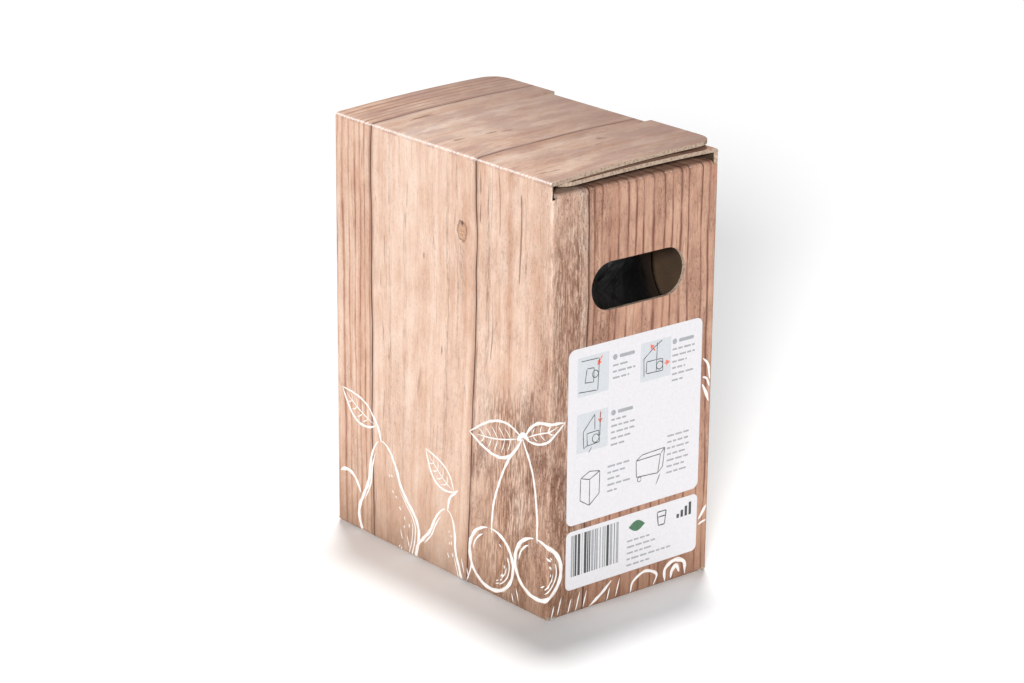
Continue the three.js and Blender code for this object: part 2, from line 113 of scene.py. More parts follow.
def add_node(
    tree: bpy.types.NodeTree,
    kind: str,
    inputs: dict | None = None,
    stops: list[tuple[float, str]] | None = None,
    **settings: object,
) -> bpy.types.Node:
    """Adds one node with its settings, its values and its links.

    Args:
        tree: The node tree that gets the node.
        kind: The node's type name, after ShaderNode.
        inputs: Its inputs, as fill_sockets takes them.
        stops: Positions and hex colours of a colour ramp.
        settings: Properties of the node.

    Returns:
        The new node.
    """
    node = tree.nodes.new("ShaderNode" + kind)
    for name, value in settings.items():
        setattr(node, name, value)
    if stops:
        elements = node.color_ramp.elements
        while len(elements) < len(stops):
            elements.new(0.5)
        for element, (position, code) in zip(elements, stops):
            element.position = position
            element.color = to_linear(code)
    fill_sockets(node, inputs or {})
    return node


def new_material(name: str) -> tuple[bpy.types.Material, bpy.types.NodeTree, bpy.types.Node]:
    """Makes a material with an empty tree, an output and a Principled shader.

    Args:
        name: Name of the real finish.

    Returns:
        The material, its tree and its shader.
    """
    material = bpy.data.materials.new(name)
    material.use_nodes = True
    tree = material.node_tree
    tree.nodes.clear()
    shader = add_node(tree, "BsdfPrincipled")
    add_node(tree, "OutputMaterial", {"Surface": shader})
    return material, tree, shader


# Shapes in the flat and in the round


@dataclass(frozen=True)
class CartonSizes:
    """Outside sizes of the folded carton, in millimetres."""

    board: float = 2.0
    length: float = 175.0
    width: float = 109.2
    height: float = 227.3
    short_top: float = 221.0
    fold: float = 2.4
    corner: float = 1.6
    ink_room: float = 0.18


SIZES = CartonSizes()


@dataclass(frozen=True)
class Panel:
    """One wall of the blank with the flaps above and below it.

    The blank's own coordinates are u, round the walls, and v, up the walls and on over the creases.
    """

    name: str
    start: tuple[float, float]
    along: tuple[float, float]
    inward: tuple[float, float]
    span: float
    u_start: float

    def point(self, a: np.ndarray, n: np.ndarray, z: np.ndarray) -> np.ndarray:
        """Places points of the panel: start + a times along + n times inward, at height z.

        Args:
            a: Distance along the wall.
            n: Depth behind the wall's face.
            z: Height.

        Returns:
            Points in millimetres, one row each.
        """
        x = self.start[0] + a * self.along[0] + n * self.inward[0]
        y = self.start[1] + a * self.along[1] + n * self.inward[1]
        # The board stands back by the room that the ink layers need
        x = x * (1 - 2 * SIZES.ink_room / SIZES.length)
        y = y * (1 - 2 * SIZES.ink_room / SIZES.width)
        return np.stack([x, y, z], axis=-1)

    def rounded(self, a: np.ndarray, n: np.ndarray) -> tuple[np.ndarray, np.ndarray]:
        """Rounds the upright corners: within one radius of an end, a point goes on the arc.

        The arc's angle falls from 45 degrees at the panel's end to 0 one radius away from it.

        Args:
            a: Distance along the wall.
            n: Depth behind the wall's face.

        Returns:
            The distance and the depth on the rounded wall.
        """
        radius = SIZES.corner
        near = np.minimum(a, self.span - a)
        angle = np.pi / 4 * (1 - np.clip(near / radius, 0, 1))
        moved = np.where(near < radius, radius * (1 - np.sin(angle)), near)
        depth = n + radius * (1 - np.cos(angle))
        return np.where(a < self.span / 2, moved, self.span - moved), depth


HALF_X = SIZES.length / 2
HALF_Y = SIZES.width / 2
FRONT = Panel("front", (-HALF_X, -HALF_Y), (1, 0), (0, 1), SIZES.length, -SIZES.length)
RIGHT = Panel("right", (HALF_X, -HALF_Y), (0, 1), (-1, 0), SIZES.width, 0.0)
BACK = Panel("back", (HALF_X, HALF_Y), (-1, 0), (0, -1), SIZES.length, SIZES.width)
LEFT = Panel("left", (-HALF_X, HALF_Y), (0, -1), (1, 0), SIZES.width, SIZES.width + SIZES.length)


def arc(centre: tuple[float, float], radius: float, start: float, end: float, steps: int) -> np.ndarray:
    """Points on an arc: centre + radius times (cos, sin) of an angle in equal steps.

    Args:
        centre: Centre, as depth and height.
        radius: Radius.
        start: First angle in degrees.
        end: Last angle in degrees.
        steps: Number of steps.

    Returns:
        Points, one row each.
    """
    angle = np.radians(np.linspace(start, end, steps + 1))
    return np.stack([centre[0] + radius * np.cos(angle), centre[1] + radius * np.sin(angle)], axis=-1)


class Profile:
    """A line across the blank, in depth n and height z, measured by its length t.

    The length is set so that t equals the height on the upright wall.
    """

    def __init__(self, parts: list, wall_point: tuple[float, float]) -> None:
        """Joins the parts and measures them.

        Args:
            parts: Arrays or lists of points, as depth and height.
            wall_point: A point of the line where t is its height.
        """
        points = np.concatenate([np.atleast_2d(np.asarray(p, float)) for p in parts])
        steps = np.hypot(*np.diff(points, axis=0).T)
        keep = np.concatenate([[True], steps > 1e-6])
        self.points = points[keep]
        self.t = np.concatenate([[0.0], np.cumsum(steps[steps > 1e-6])])
        nearest = np.argmin(np.hypot(*(self.points - np.asarray(wall_point)).T))
        self.t += self.points[nearest, 1] - self.t[nearest]

    def place(self, t: np.ndarray) -> tuple[np.ndarray, np.ndarray]:
        """Depth and height at length t, straight between the line's points.

        Args:
            t: Lengths.

        Returns:
            Depths and heights.
        """
        return np.interp(t, self.t, self.points[:, 0]), np.interp(t, self.t, self.points[:, 1])


def lattice_line(marks: list, step: float) -> np.ndarray:
    """Positions that hold every mark, with even steps no longer than a given one between them.

    Args:
        marks: Positions that have to be there.
        step: The longest step.

    Returns:
        Rising positions.
    """
    marks = np.unique(np.round(np.asarray(marks, float), 5))
    pieces = [
        np.linspace(low, high, max(int(np.ceil((high - low) / step)), 1), endpoint=False)
        for low, high in zip(marks[:-1], marks[1:])
    ]
    return np.concatenate([*pieces, marks[-1:]])


@dataclass
class Surface:
    """Vertices in millimetres with their faces and pattern coordinates."""

    points: np.ndarray
    faces: list
    uv: np.ndarray

    def joined(self, other: "Surface") -> "Surface":
        """Joins both surfaces.

        Args:
            other: The surface to add.

        Returns:
            One surface with the faces of both.
        """
        faces = self.faces + [tuple(i + len(self.points) for i in face) for face in other.faces]
        points = np.concatenate([self.points, other.points])
        return Surface(points, faces, np.concatenate([self.uv, other.uv]))


def grid_faces(rows: int, columns: int, keep: np.ndarray | None = None, offset: int = 0) -> list:
    """Quads of a grid whose vertices are numbered along its rows.

    Args:
        rows: Number of vertex rows.
        columns: Number of vertices in a row.
        keep: Which cells stay, one row less and one column less than the vertices.
        offset: Number of the first vertex.

    Returns:
        Faces as tuples, facing along (along the row) x (up the rows).
    """
    index = np.arange(rows * columns).reshape(rows, columns) + offset
    quads = np.stack([index[:-1, :-1], index[:-1, 1:], index[1:, 1:], index[1:, :-1]], axis=-1)
    quads = quads.reshape(-1, 4) if keep is None else quads[keep]
    return [tuple(q) for q in quads.tolist()]


def build_object(
    name: str,
    surface: Surface,
    materials: list,
    body: Body,
    slot: Slot,
    weld: float = 0.01,
) -> bpy.types.Object:
    """Puts a surface into a mesh object in metres that rides on a body.

    Vertices closer than the weld distance become one, and vertices of no face are left out.

    Args:
        name: Name of the piece.
        surface: The surface in millimetres.
        materials: Materials in slot order.
        body: CAD body that the piece rides on.
        slot: Material slot of the record; not used.
        weld: Distance in millimetres.

    Returns:
        The object.
    """
    keys = np.round(surface.points / weld).astype(np.int64)
    _, first, inverse = np.unique(keys, axis=0, return_index=True, return_inverse=True)
    inverse = inverse.reshape(-1)
    faces, corners = [], []
    for face in surface.faces:
        welded = [int(inverse[i]) for i in face]
        kept = [k for k in range(len(face)) if welded[k] != welded[k - 1]]
        if len(kept) > 2:
            faces.append([welded[k] for k in kept])
            corners.extend(face[k] for k in kept)
    used, compact = np.unique(np.concatenate([np.asarray(f) for f in faces]), return_inverse=True)
    compact = compact.reshape(-1).tolist()
    cursor, packed = 0, []
    for face in faces:
        packed.append(compact[cursor : cursor + len(face)])
        cursor += len(face)
    mesh = bpy.data.meshes.new(name)
    mesh.from_pydata((surface.points[first][used] * MM).tolist(), [], packed)
    layer = mesh.uv_layers.new(name="blank")
    layer.data.foreach_set("uv", surface.uv[np.asarray(corners)].astype(np.float32).ravel())
    for material in materials:
        mesh.materials.append(material)
    mesh.validate()
    piece = bpy.data.objects.new(name, mesh)
    bpy.context.scene.collection.objects.link(piece)
    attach(piece, body)
    LOG.info("%s: %d vertices, %d faces, on %s", name, len(mesh.vertices), len(mesh.polygons), body)
    return piece


def give_thickness(piece: bpy.types.Object, thickness: float) -> None:
    """Gives a sheet its board thickness, inwards, with its own inner and edge finishes.

    Args:
        piece: The sheet, with three materials.
        thickness: Thickness in millimetres.
    """
    solid = piece.modifiers.new("board", "SOLIDIFY")
    solid.thickness = thickness * MM
    solid.offset = -1.0
    solid.use_even_offset = True
    solid.material_offset = 1
    solid.material_offset_rim = 2


# Finishes


@dataclass(frozen=True)
class Plank:
    """One plank of the print: where it begins, and how its wood looks."""

    start: float
    tone: float
    line_strength: float
    line_spacing: float
    weathering: float
    redness: float
    streaks: float


@dataclass(frozen=True)
class Knot:
    """A knot of the print: its centre and its half sizes, in millimetres of the blank."""

    u: float
    v: float
    half_u: float
    half_v: float


@dataclass(frozen=True)
class Streak:
    """A dark streak along the grain: its place, half width, lower and upper end, and depth of tone."""

    u: float
    half: float
    low: float
    high: float
    depth: float


@dataclass(frozen=True)
class Noise:
    """A noise of the print: breadth and height of its features in millimetres, octaves, roughness, seed."""

    wide: float
    tall: float
    octaves: float
    roughness: float
    seed: float


@dataclass(frozen=True)
class Ramp:
    """A smooth step of a value: where it begins and ends, and what it gives there."""

    source: str
    low: float
    high: float
    first: float = 0.0
    last: float = 1.0


# Steps of the print in turn. A sum is an operation with numbers or the names of earlier values.
# The grain leans by 7.3 mm times the 1.9th power of the depth below the top crease, most at u = -57.
BEND_STEPS = {
    "wander": Noise(55, 95, 1, 0.5, 3.0),
    "waver": Noise(14, 26, 2, 0.5, 9.0),
    "below": ("SUBTRACT", SIZES.height, "v"),
    "depth": ("MAXIMUM", "below", 0.0),
    "share": ("DIVIDE", "depth", SIZES.height),
    "fall": ("POWER", "share", 1.9),
    "beyond": ("SUBTRACT", "u", -57.0),
    "aside": ("DIVIDE", "beyond", 80.0),
    "bowl": ("MULTIPLY", "aside", "aside"),
    "hump": ("SUBTRACT", 1.0, "bowl"),
    "hill": ("MAXIMUM", "hump", 0.0),
    "lean": ("MULTIPLY", "hill", 7.3),
    "leaning": ("MULTIPLY_ADD", "fall", "lean", "u"),
    "swaying": ("MULTIPLY_ADD", "wander", 3.6, "leaning"),
    "swinging": ("MULTIPLY_ADD", "waver", 1.3, "swaying"),
    "run": ("SUBTRACT", "swinging", 2.45),
}
WOOD_STEPS = {
    # Growth lines stand at the plank's own spacing, pulled about by noise, and break off
    "line_drift": Noise(21, 400, 2, 0.6, 31.0),
    "line_parts": Noise(5, 34, 3, 0.6, 17.0),
    "drift": ("MULTIPLY", "line_drift", 1.9),
    "cycle": ("MULTIPLY_ADD", "run", "line_rate", "drift"),
    "phase": ("FRACT", "cycle"),
    "phase_side": ("SUBTRACT", "phase", 0.5),
    "phase_off": ("ABSOLUTE", "phase_side"),
    "rate": ("MAXIMUM", "line_rate", 0.01),
    "line_off": ("DIVIDE", "phase_off", "rate"),
    "thin_line": Ramp("line_off", 0.15, 0.8, 0.6, 0.0),
    "broad_line": Ramp("line_off", 0.2, 1.7, 0.24, 0.0),
    "part_line": Ramp("line_parts", 0.34, 0.62),
    "line_breaks": Ramp("part_line", 0.0, 1.0, 0.45, 1.0),
    "line_depth": ("ADD", "thin_line", "broad_line"),
    "plank_line": ("MULTIPLY", "line_depth", "line_strength"),
    "lines": ("MULTIPLY", "plank_line", "line_breaks"),
    # Bare wood: bands, ribbons, fibres and blotches round a middle shade of 0.69, less the lines
    "bands": Noise(13, 330, 2, 0.5, 41.0),
    "ribbons": Noise(3.6, 70, 3, 0.62, 43.0),
    "fibres": Noise(0.7, 7.5, 3, 0.7, 47.0),
    "blotches": Noise(11, 21, 4, 0.62, 53.0),
    "banded": ("MULTIPLY_ADD", "bands", 0.40, -0.10),
    "ribboned": ("MULTIPLY_ADD", "ribbons", 0.34, "banded"),
    "fibrous": ("MULTIPLY_ADD", "fibres", 0.40, "ribboned"),
    "blotched": ("MULTIPLY_ADD", "blotches", 0.44, "fibrous"),
    "toned": ("ADD", "blotched", "tone"),
    "shade": ("MULTIPLY_ADD", "lines", -0.62, "toned"),
    # Red streaks of sap, and weathered patches with dark specks, most beside the upright corner
    "sap_places": Noise(6, 150, 2, 0.5, 61.0),
    "sap": Ramp("sap_places", 0.5, 0.75, 0.0, 0.45),
    "sap_mask": ("MULTIPLY", "sap", "redness"),
    "patches": Noise(22, 48, 5, 0.68, 67.0),
    "patch": Ramp("patches", 0.44, 0.66),
    "corner_side": ("SUBTRACT", "run", 13.0),
    "corner_off": ("ABSOLUTE", "corner_side"),
    "corner": Ramp("corner_off", 6, 42, 0.62, 0.0),
    "low": Ramp("v", 60, 185, 1.0, 0.0),
    "beside": Ramp("run", -3, 9, 0.0, 0.9),
    "worn": ("MAXIMUM", "low", "beside"),
    "wear": ("MULTIPLY_ADD", "worn", 0.75, 0.25),
    "spoilt": ("ADD", "patch", "corner"),
    "plank_spoilt": ("MULTIPLY", "spoilt", "weathering"),
    "aged": ("MULTIPLY", "plank_spoilt", "wear"),
    "mottles": Noise(2.2, 9.0, 4, 0.72, 69.0),
    "mottle": Ramp("mottles", 0.32, 0.66),
    "mottling": ("MULTIPLY_ADD", "mottle", 0.645, 0.215),
    "aged_tone": ("MULTIPLY", "aged", "mottling"),
    "aged_mask": ("MINIMUM", "aged_tone", 0.85),
    "grains": Noise(0.8, 2.2, 3, 0.75, 71.0),
    "specks": Ramp("grains", 0.55, 0.67),
    "speck_depth": ("MULTIPLY_ADD", "aged", 0.78, 0.16),
    "speck_mask": ("MULTIPLY", "specks", "speck_depth"),
    "tears": Noise(1.1, 9.0, 4, 0.7, 77.0),
    "torn": Ramp("tears", 0.36, 0.62),
    # Cracks along the grain
    "crack_lines": Noise(8, 260, 2, 0.5, 73.0),
    "crack_side": ("SUBTRACT", "crack_lines", 0.5),
    "crack_off": ("ABSOLUTE", "crack_side"),
    "crack": Ramp("crack_off", 0.003, 0.014, 0.8, 0.0),
    "crack_parts": Noise(9, 34, 3, 0.6, 79.0),
    "crack_breaks": Ramp("crack_parts", 0.5, 0.58),
    "cracks": ("MULTIPLY", "crack", "crack_breaks"),
    "crack_mask": ("MULTIPLY", "cracks", "cracking"),
    # The wood turns browner towards the floor, and darker still in a mottled band at its foot
    "sunk": Ramp("v", -4, 80, 0.34, 0.0),
    "splash": Ramp("v", -2, 26, 0.62, 0.0),
    "dirt": Noise(9, 16, 3, 0.6, 83.0),
    "dirt_mask": ("MULTIPLY", "splash", "dirt"),
    "knot_edge": Noise(1.2, 1.6, 2, 0.6, 89.0),
    "knot_cracks": Noise(0.5, 0.9, 3, 0.7, 97.0),
    "crackle": Ramp("knot_cracks", 0.35, 0.6),
    # Gaps between the planks
    "gap_breadth": Noise(6, 18, 2, 0.5, 101.0),
    "gap_half": ("MULTIPLY_ADD", "gap_breadth", 0.5, 0.16),
    "gap_side": ("SUBTRACT", "gap_off", "gap_half"),
    "gap_mask": Ramp("gap_side", -0.15, 0.25, 0.93, 0.0),
    "gap_shade": Ramp("gap_off", 0.4, 2.8, 0.34, 0.0),
    "clouds": Noise(13, 34, 4, 0.6, 109.0),
    "cloud": Ramp("clouds", 0.42, 0.62, 0.0, 0.4),
    # Ink rubbed off along the creases, partly worn and partly a painted highlight on the rounded folds
    "wear_edge": Noise(1.4, 1.4, 3, 0.7, 103.0),
    "rub": ("MULTIPLY_ADD", "wear_edge", 0.6, "crease"),
    "rub_mask": Ramp("rub", 0.76, 0.98, 0.0, 0.88),
    # Faint washboard of the flutes under the liner, 1.6 mm apart as on the real board, and paper grain
    "paper": Noise(0.5, 0.5, 2, 0.5, 107.0),
    "flute_turn": ("MULTIPLY", "u", 2 * math.pi / 1.6),
    "flute": ("SINE", "flute_turn"),
    "paper_relief": ("MULTIPLY", "paper", 0.5),
    "relief": ("MULTIPLY_ADD", "flute", 0.25, "paper_relief"),
    "sheen": ("MULTIPLY_ADD", "fibres", 0.12, 0.52),
}


@dataclass(frozen=True)
class PlankPrint:
    """Matt offset print of weathered planks on white-lined fine-flute board.

    The ink layer is thin and uncoated, so it has a broad dull sheen, and the flutes show as a very faint
    washboard. Grain runs up the walls and on over the creases of the top flaps.
    """

    name: str = "offset_print_wood_planks"
    palest: str = "#F3DCCB"
    light: str = "#EACAB5"
    mid: str = "#D3A88F"
    groove: str = "#B58873"
    dark: str = "#7D5547"
    gap: str = "#4E332B"
    sap_red: str = "#BF8064"
    weather: str = "#85604F"
    speck: str = "#573A31"
    streak_brown: str = "#70452F"
    smudge: str = "#6A4C46"
    floor_brown: str = "#9C7250"
    foot_dirt: str = "#5E4436"
    knot_brown: str = "#9A6C54"
    knot_pale: str = "#CFA078"
    knot_ring: str = "#6E473A"
    knot_eye: str = "#4A2F3A"
    top_cloud: str = "#B08D86"
    top_far_shade: str = "#96796F"
    crease_wear_and_highlight: str = "#F6EFEA"
    top_shade_fade: float = 0.0
    planks: tuple = (
        Plank(-300, 0.03, 0.80, 4.6, 0.30, 0.5, 0.5),
        Plank(-143, 0.07, 0.10, 12.0, 0.16, 0.3, 0.5),
        Plank(-57, 0.04, 0.16, 9.0, 0.85, 0.5, 0.9),
        Plank(24, -0.27, 1.0, 6.3, 0.62, 0.6, 0.5),
        Plank(128, 0.03, 0.25, 8.0, 0.30, 0.3, 0.6),
        Plank(205, -0.02, 0.75, 5.0, 0.55, 0.5, 0.5),
        Plank(262, 0.07, 0.20, 9.0, 0.20, 0.3, 0.5),
        Plank(331, 0.03, 0.80, 4.6, 0.30, 0.5, 0.5),
    )
    streaks: tuple = (
        Streak(-47.5, 2.6, 112, 221, 0.50), Streak(-80, 2.4, 52, 226, 0.42),
        Streak(-72.5, 1.3, 120, 227, 0.40), Streak(-127.5, 1.8, 0, 227, 0.30),
        Streak(-115, 2.6, 20, 205, 0.24), Streak(-69, 4.2, 152, 181, 0.50),
        Streak(17, 3.6, 6, 219, 0.70), Streak(29, 2.4, 60, 219, 0.55),
        Streak(37.5, 2.0, 4, 219, 0.66), Streak(5, 2.8, 20, 205, 0.34),
        Streak(-12, 5.0, 2, 118, 0.50), Streak(-27, 34.0, -20, 118, 0.80),
        Streak(11, 22.0, -20, 215, 0.72),
    )
    smudges: tuple = (
        Knot(-133.0, 251.0, 1.3, 7.0), Knot(-88.5, 239.0, 1.4, 4.0),
        Knot(-86.0, 258.5, 1.0, 4.0), Knot(-83.0, 268.0, 0.9, 3.4),
        Knot(-40.0, 291.0, 1.8, 4.0), Knot(-84.0, 121.0, 0.7, 2.4),
        Knot(-99.5, 168.0, 0.8, 2.0),
    )
    knots: tuple = (Knot(-68.5, 187.9, 3.8, 5.3), Knot(168.0, 92.0, 4.2, 7.5), Knot(300.0, 150.0, 3.4, 6.0))

    def work_out(self, tree: bpy.types.NodeTree, at: dict, steps: dict) -> None:
        """Works out a table of steps in turn.

        Args:
            tree: The material's nodes.
            at: Values at each point, which get the new ones.
            steps: Name of each new value to its noise, smooth step or sum.
        """
        for name, step in steps.items():
            if isinstance(step, Noise):
                scale, shift = (1 / step.wide, 1 / step.tall, 1), (step.seed, step.seed * 1.7, 0)
                place = add_node(tree, "Mapping", {"Vector": at["grain"], "Scale": scale, "Location": shift})
                grain = {"Vector": place, "Scale": 1.0, "Detail": step.octaves, "Roughness": step.roughness}
                at[name] = add_node(tree, "TexNoise", grain, noise_dimensions="2D").outputs["Fac"]
            elif isinstance(step, Ramp):
                ends = {0: at[step.source], 1: step.low, 2: step.high, 3: step.first, 4: step.last}
                at[name] = add_node(tree, "MapRange", ends, interpolation_type="SMOOTHSTEP")
            else:
                inputs = {k: at.get(value, value) for k, value in enumerate(step[1:])}
                at[name] = add_node(tree, "Math", inputs, operation=step[0])

    def oval(self, tree: bpy.types.NodeTree, place: bpy.types.NodeSocket, spot: Knot) -> tuple:
        """Works out how far each point lies from a spot, in the spot's own half sizes.

        Args:
            tree: The material's nodes.
            place: The point's coordinates.
            spot: The knot or smudge.

        Returns:
            The distance, and the offset sideways and upwards.
        """
        off = add_node(tree, "VectorMath", {0: place, 1: (spot.u, spot.v, 0)}, operation="SUBTRACT")
        scale = (1 / spot.half_u, 1 / spot.half_v, 0)
        off = add_node(tree, "VectorMath", {0: off, 1: scale}, operation="MULTIPLY")
        reach = add_node(tree, "VectorMath", {0: off}, operation="LENGTH").outputs["Value"]
        side = add_node(tree, "SeparateXYZ", {0: off}).outputs
        return reach, side[0], side[1]

    def bend(self, tree: bpy.types.NodeTree, at: dict) -> None:
        """Lets the grain lean, wander and part round the knots.

        A knot at distance d, in its own half sizes, pushes the grain aside by 0.85 of its half width times
        exp(-0.28 * d * d).

        Args:
            tree: The material's nodes.
            at: Values at each point, which get the bent coordinates.
        """
        self.work_out(tree, at, BEND_STEPS)
        for knot in self.knots:
            at[knot] = self.oval(tree, at["grain"], knot)
            at["reach"], at["side"] = at[knot][:2]
            steps = {
                "square": ("MULTIPLY", "reach", "reach"),
                "fade": ("MULTIPLY", "square", -0.28),
                "wane": ("EXPONENT", "fade"),
                "push": ("MULTIPLY", "side", "wane"),
                "run": ("MULTIPLY_ADD", "push", -0.85 * knot.half_u, "run"),
            }
            self.work_out(tree, at, steps)
        at["grain"] = add_node(tree, "CombineXYZ", {0: at["run"], 1: at["v"], 2: 0.0})

    def plank_values(self, tree: bpy.types.NodeTree, at: dict) -> None:
        """Gives each point its plank's six values, and its distance from the nearest gap.

        Each plank adds its own change to two running sets of three values.

        Args:
            tree: The material's nodes.
            at: Values at each point, which get the planks' values.
        """
        looks = [(p.tone, p.line_strength, 1 / p.line_spacing) for p in self.planks]
        wears = [(p.weathering, p.redness, p.streaks) for p in self.planks]
        passed = []
        at["gap_off"] = 1000.0
        for plank in self.planks[1:]:
            steps = {
                "step": ("GREATER_THAN", "run", plank.start),
                "past": ("SUBTRACT", "run", plank.start),
                "off": ("ABSOLUTE", "past"),
                "gap_off": ("MINIMUM", "off", "gap_off"),
            }
            self.work_out(tree, at, steps)
            passed.append(add_node(tree, "CombineXYZ", {0: at["step"], 1: at["step"], 2: at["step"]}))
        names = (("tone", "line_strength", "line_rate"), ("weathering", "redness", "cracking"))
        for keys, values in zip(names, (looks, wears)):
            total = values[0]
            for step, before, after in zip(passed, values[:-1], values[1:]):
                inputs = {0: step, 1: tuple(b - a for a, b in zip(before, after)), 2: total}
                total = add_node(tree, "VectorMath", inputs, operation="MULTIPLY_ADD")
            at.update(zip(keys, add_node(tree, "SeparateXYZ", {0: total}).outputs))

    def streak_masks(self, tree: bpy.types.NodeTree, at: dict) -> list:
        """Works out the streaks' and smudges' layers.

        Args:
            tree: The material's nodes.
            at: Values at each point.

        Returns:
            Pairs of a mask and a colour.
        """
        layers = []
        for streak in self.streaks:
            middle, half = (streak.low + streak.high) / 2, (streak.high - streak.low) / 2
            steps = {
                "side": ("SUBTRACT", "run", streak.u),
                "off": ("ABSOLUTE", "side"),
                "across": Ramp("off", 0.0, streak.half, streak.depth, 0.0),
                "rise": ("SUBTRACT", "v", middle),
                "above": ("ABSOLUTE", "rise"),
                "along": Ramp("above", half * 0.7, half + 6, 1.0, 0.0),
                "patch": ("MULTIPLY", "across", "along"),
                "mask": ("MULTIPLY", "patch", "torn"),
            }
            self.work_out(tree, at, steps)
            layers.append((at["mask"], self.streak_brown))
        for smudge in self.smudges:
            at["reach"] = self.oval(tree, at["grain"], smudge)[0]
            steps = {"ragged": ("MULTIPLY_ADD", "mottle", 0.8, "reach")}
            self.work_out(tree, at, {**steps, "mask": Ramp("ragged", 0.7, 1.75, 0.62, 0.0)})
            layers.append((at["mask"], self.smudge))
        return layers

    def knot_masks(self, tree: bpy.types.NodeTree, at: dict) -> list:
        """Works out each knot's crackled heart, dark ring and eye.

        Args:
            tree: The material's nodes.
            at: Values at each point.

        Returns:
            Pairs of a mask and a colour.
        """
        ends = {0: at["crackle"], 6: to_linear(self.knot_brown), 7: to_linear(self.knot_pale)}
        heartwood = add_node(tree, "Mix", ends, data_type="RGBA").outputs[2]
        layers = []
        for knot in self.knots:
            at["reach"], at["side"], at["rise"] = at[knot]
            steps = {
                "edge": ("MULTIPLY_ADD", "knot_edge", 0.5, "reach"),
                "heart": Ramp("edge", 1.0, 1.3, 0.62, 0.0),
                "ring_side": ("SUBTRACT", "edge", 1.2),
                "ring_off": ("ABSOLUTE", "ring_side"),
                "ring": Ramp("ring_off", 0.02, 0.2, 0.6, 0.0),
                "eye_across": ("ABSOLUTE", "side"),
                "eye_rise": ("SUBTRACT", "rise", 0.75),
                "eye_up": ("ABSOLUTE", "eye_rise"),
                "eye_off": ("ADD", "eye_across", "eye_up"),
                "eye": Ramp("eye_off", 0.12, 0.42, 0.85, 0.0),
            }
            self.work_out(tree, at, steps)
            layers += [(at["heart"], heartwood), (at["ring"], self.knot_ring), (at["eye"], self.knot_eye)]
        return layers

    def build(self) -> bpy.types.Material:
        """Builds the material.

        Returns:
            The material, which reads the piece's blank coordinates.
        """
        material, tree, shader = new_material(self.name)
        uv = add_node(tree, "UVMap", uv_map="blank")
        flat = add_node(tree, "SeparateXYZ", {0: uv}).outputs
        rub = add_node(tree, "Attribute", attribute_name="crease", attribute_type="GEOMETRY").outputs["Fac"]
        at = {"u": flat[0], "v": flat[1], "grain": uv, "crease": rub}
        self.bend(tree, at)
        self.plank_values(tree, at)
        self.work_out(tree, at, WOOD_STEPS)
        layers = [(at["sap_mask"], self.sap_red), (at["aged_mask"], self.weather)]
        layers += [(at["speck_mask"], self.speck), *self.streak_masks(tree, at)]
        layers += [(at["crack_mask"], self.dark), (at["sunk"], self.floor_brown)]
        layers += [(at["dirt_mask"], self.foot_dirt), *self.knot_masks(tree, at)]
        layers += [(at["gap_shade"], self.dark), (at["gap_mask"], self.gap)]
        if self.top_shade_fade:
            # Painted shade: the top fades to a greyer tone on the flap, away from its crease, over a mottled
            # grey cloud
            crease = SIZES.height + 4
            self.work_out(tree, at, {"away": Ramp("v", crease, crease + 101, 0.0, self.top_shade_fade)})
            layers += [(at["cloud"], self.top_cloud), (at["away"], self.top_far_shade)]
        tones = [(0.0, self.dark), (0.3, self.groove), (0.55, self.mid), (0.8, self.light)]
        tones.append((1.0, self.palest))
        colour = add_node(tree, "ValToRGB", {0: at["shade"]}, stops=tones).outputs[0]
        for mask, ink in [*layers, (at["rub_mask"], self.crease_wear_and_highlight)]:
            ink = to_linear(ink) if isinstance(ink, str) else ink
            colour = add_node(tree, "Mix", {0: mask, 6: colour, 7: ink}, data_type="RGBA").outputs[2]
        surface = add_node(tree, "Bump", {"Height": at["relief"], "Strength": 0.12, "Distance": 0.0001})
        look = {"Base Color": colour, "Normal": surface, "Roughness": at["sheen"], "IOR": 1.46}
        fill_sockets(shader, {**look, "Specular IOR Level": 0.35})
        return material


@dataclass(frozen=True)
class KraftLiner:
    """Unbleached kraft paper, the inside face of the board: brown fibre flecks."""

    name: str = "kraft_liner_painted_shade"
    # Paper and flecks are darker than real kraft: painted shade, so that the hollow behind the hand hole
    # reads dark
    base: str = "#57412E"
    fleck: str = "#402F20"

    def build(self) -> bpy.types.Material:
        """Builds the material.

        Returns:
            The material.
        """
        material, tree, shader = new_material(self.name)
        place = add_node(tree, "TexCoord").outputs["Object"]
        # Fibres about 0.7 mm long
        grain = {"Vector": place, "Scale": 1400.0, "Detail": 4.0, "Roughness": 0.7}
        fibre = add_node(tree, "TexNoise", grain).outputs["Fac"]
        cloud = add_node(tree, "TexNoise", {"Vector": place, "Scale": 60.0, "Detail": 2.0}).outputs["Fac"]
        mix = add_node(tree, "Math", {0: fibre, 1: cloud}, operation="MULTIPLY")
        ramp = add_node(tree, "ValToRGB", {0: mix}, stops=[(0.1, self.fleck), (0.38, self.base)])
        bump = add_node(tree, "Bump", {"Height": fibre, "Strength": 0.25, "Distance": 0.0001})
        fill_sockets(shader, {"Base Color": ramp, "Normal": bump, "Roughness": 0.85})
        return material


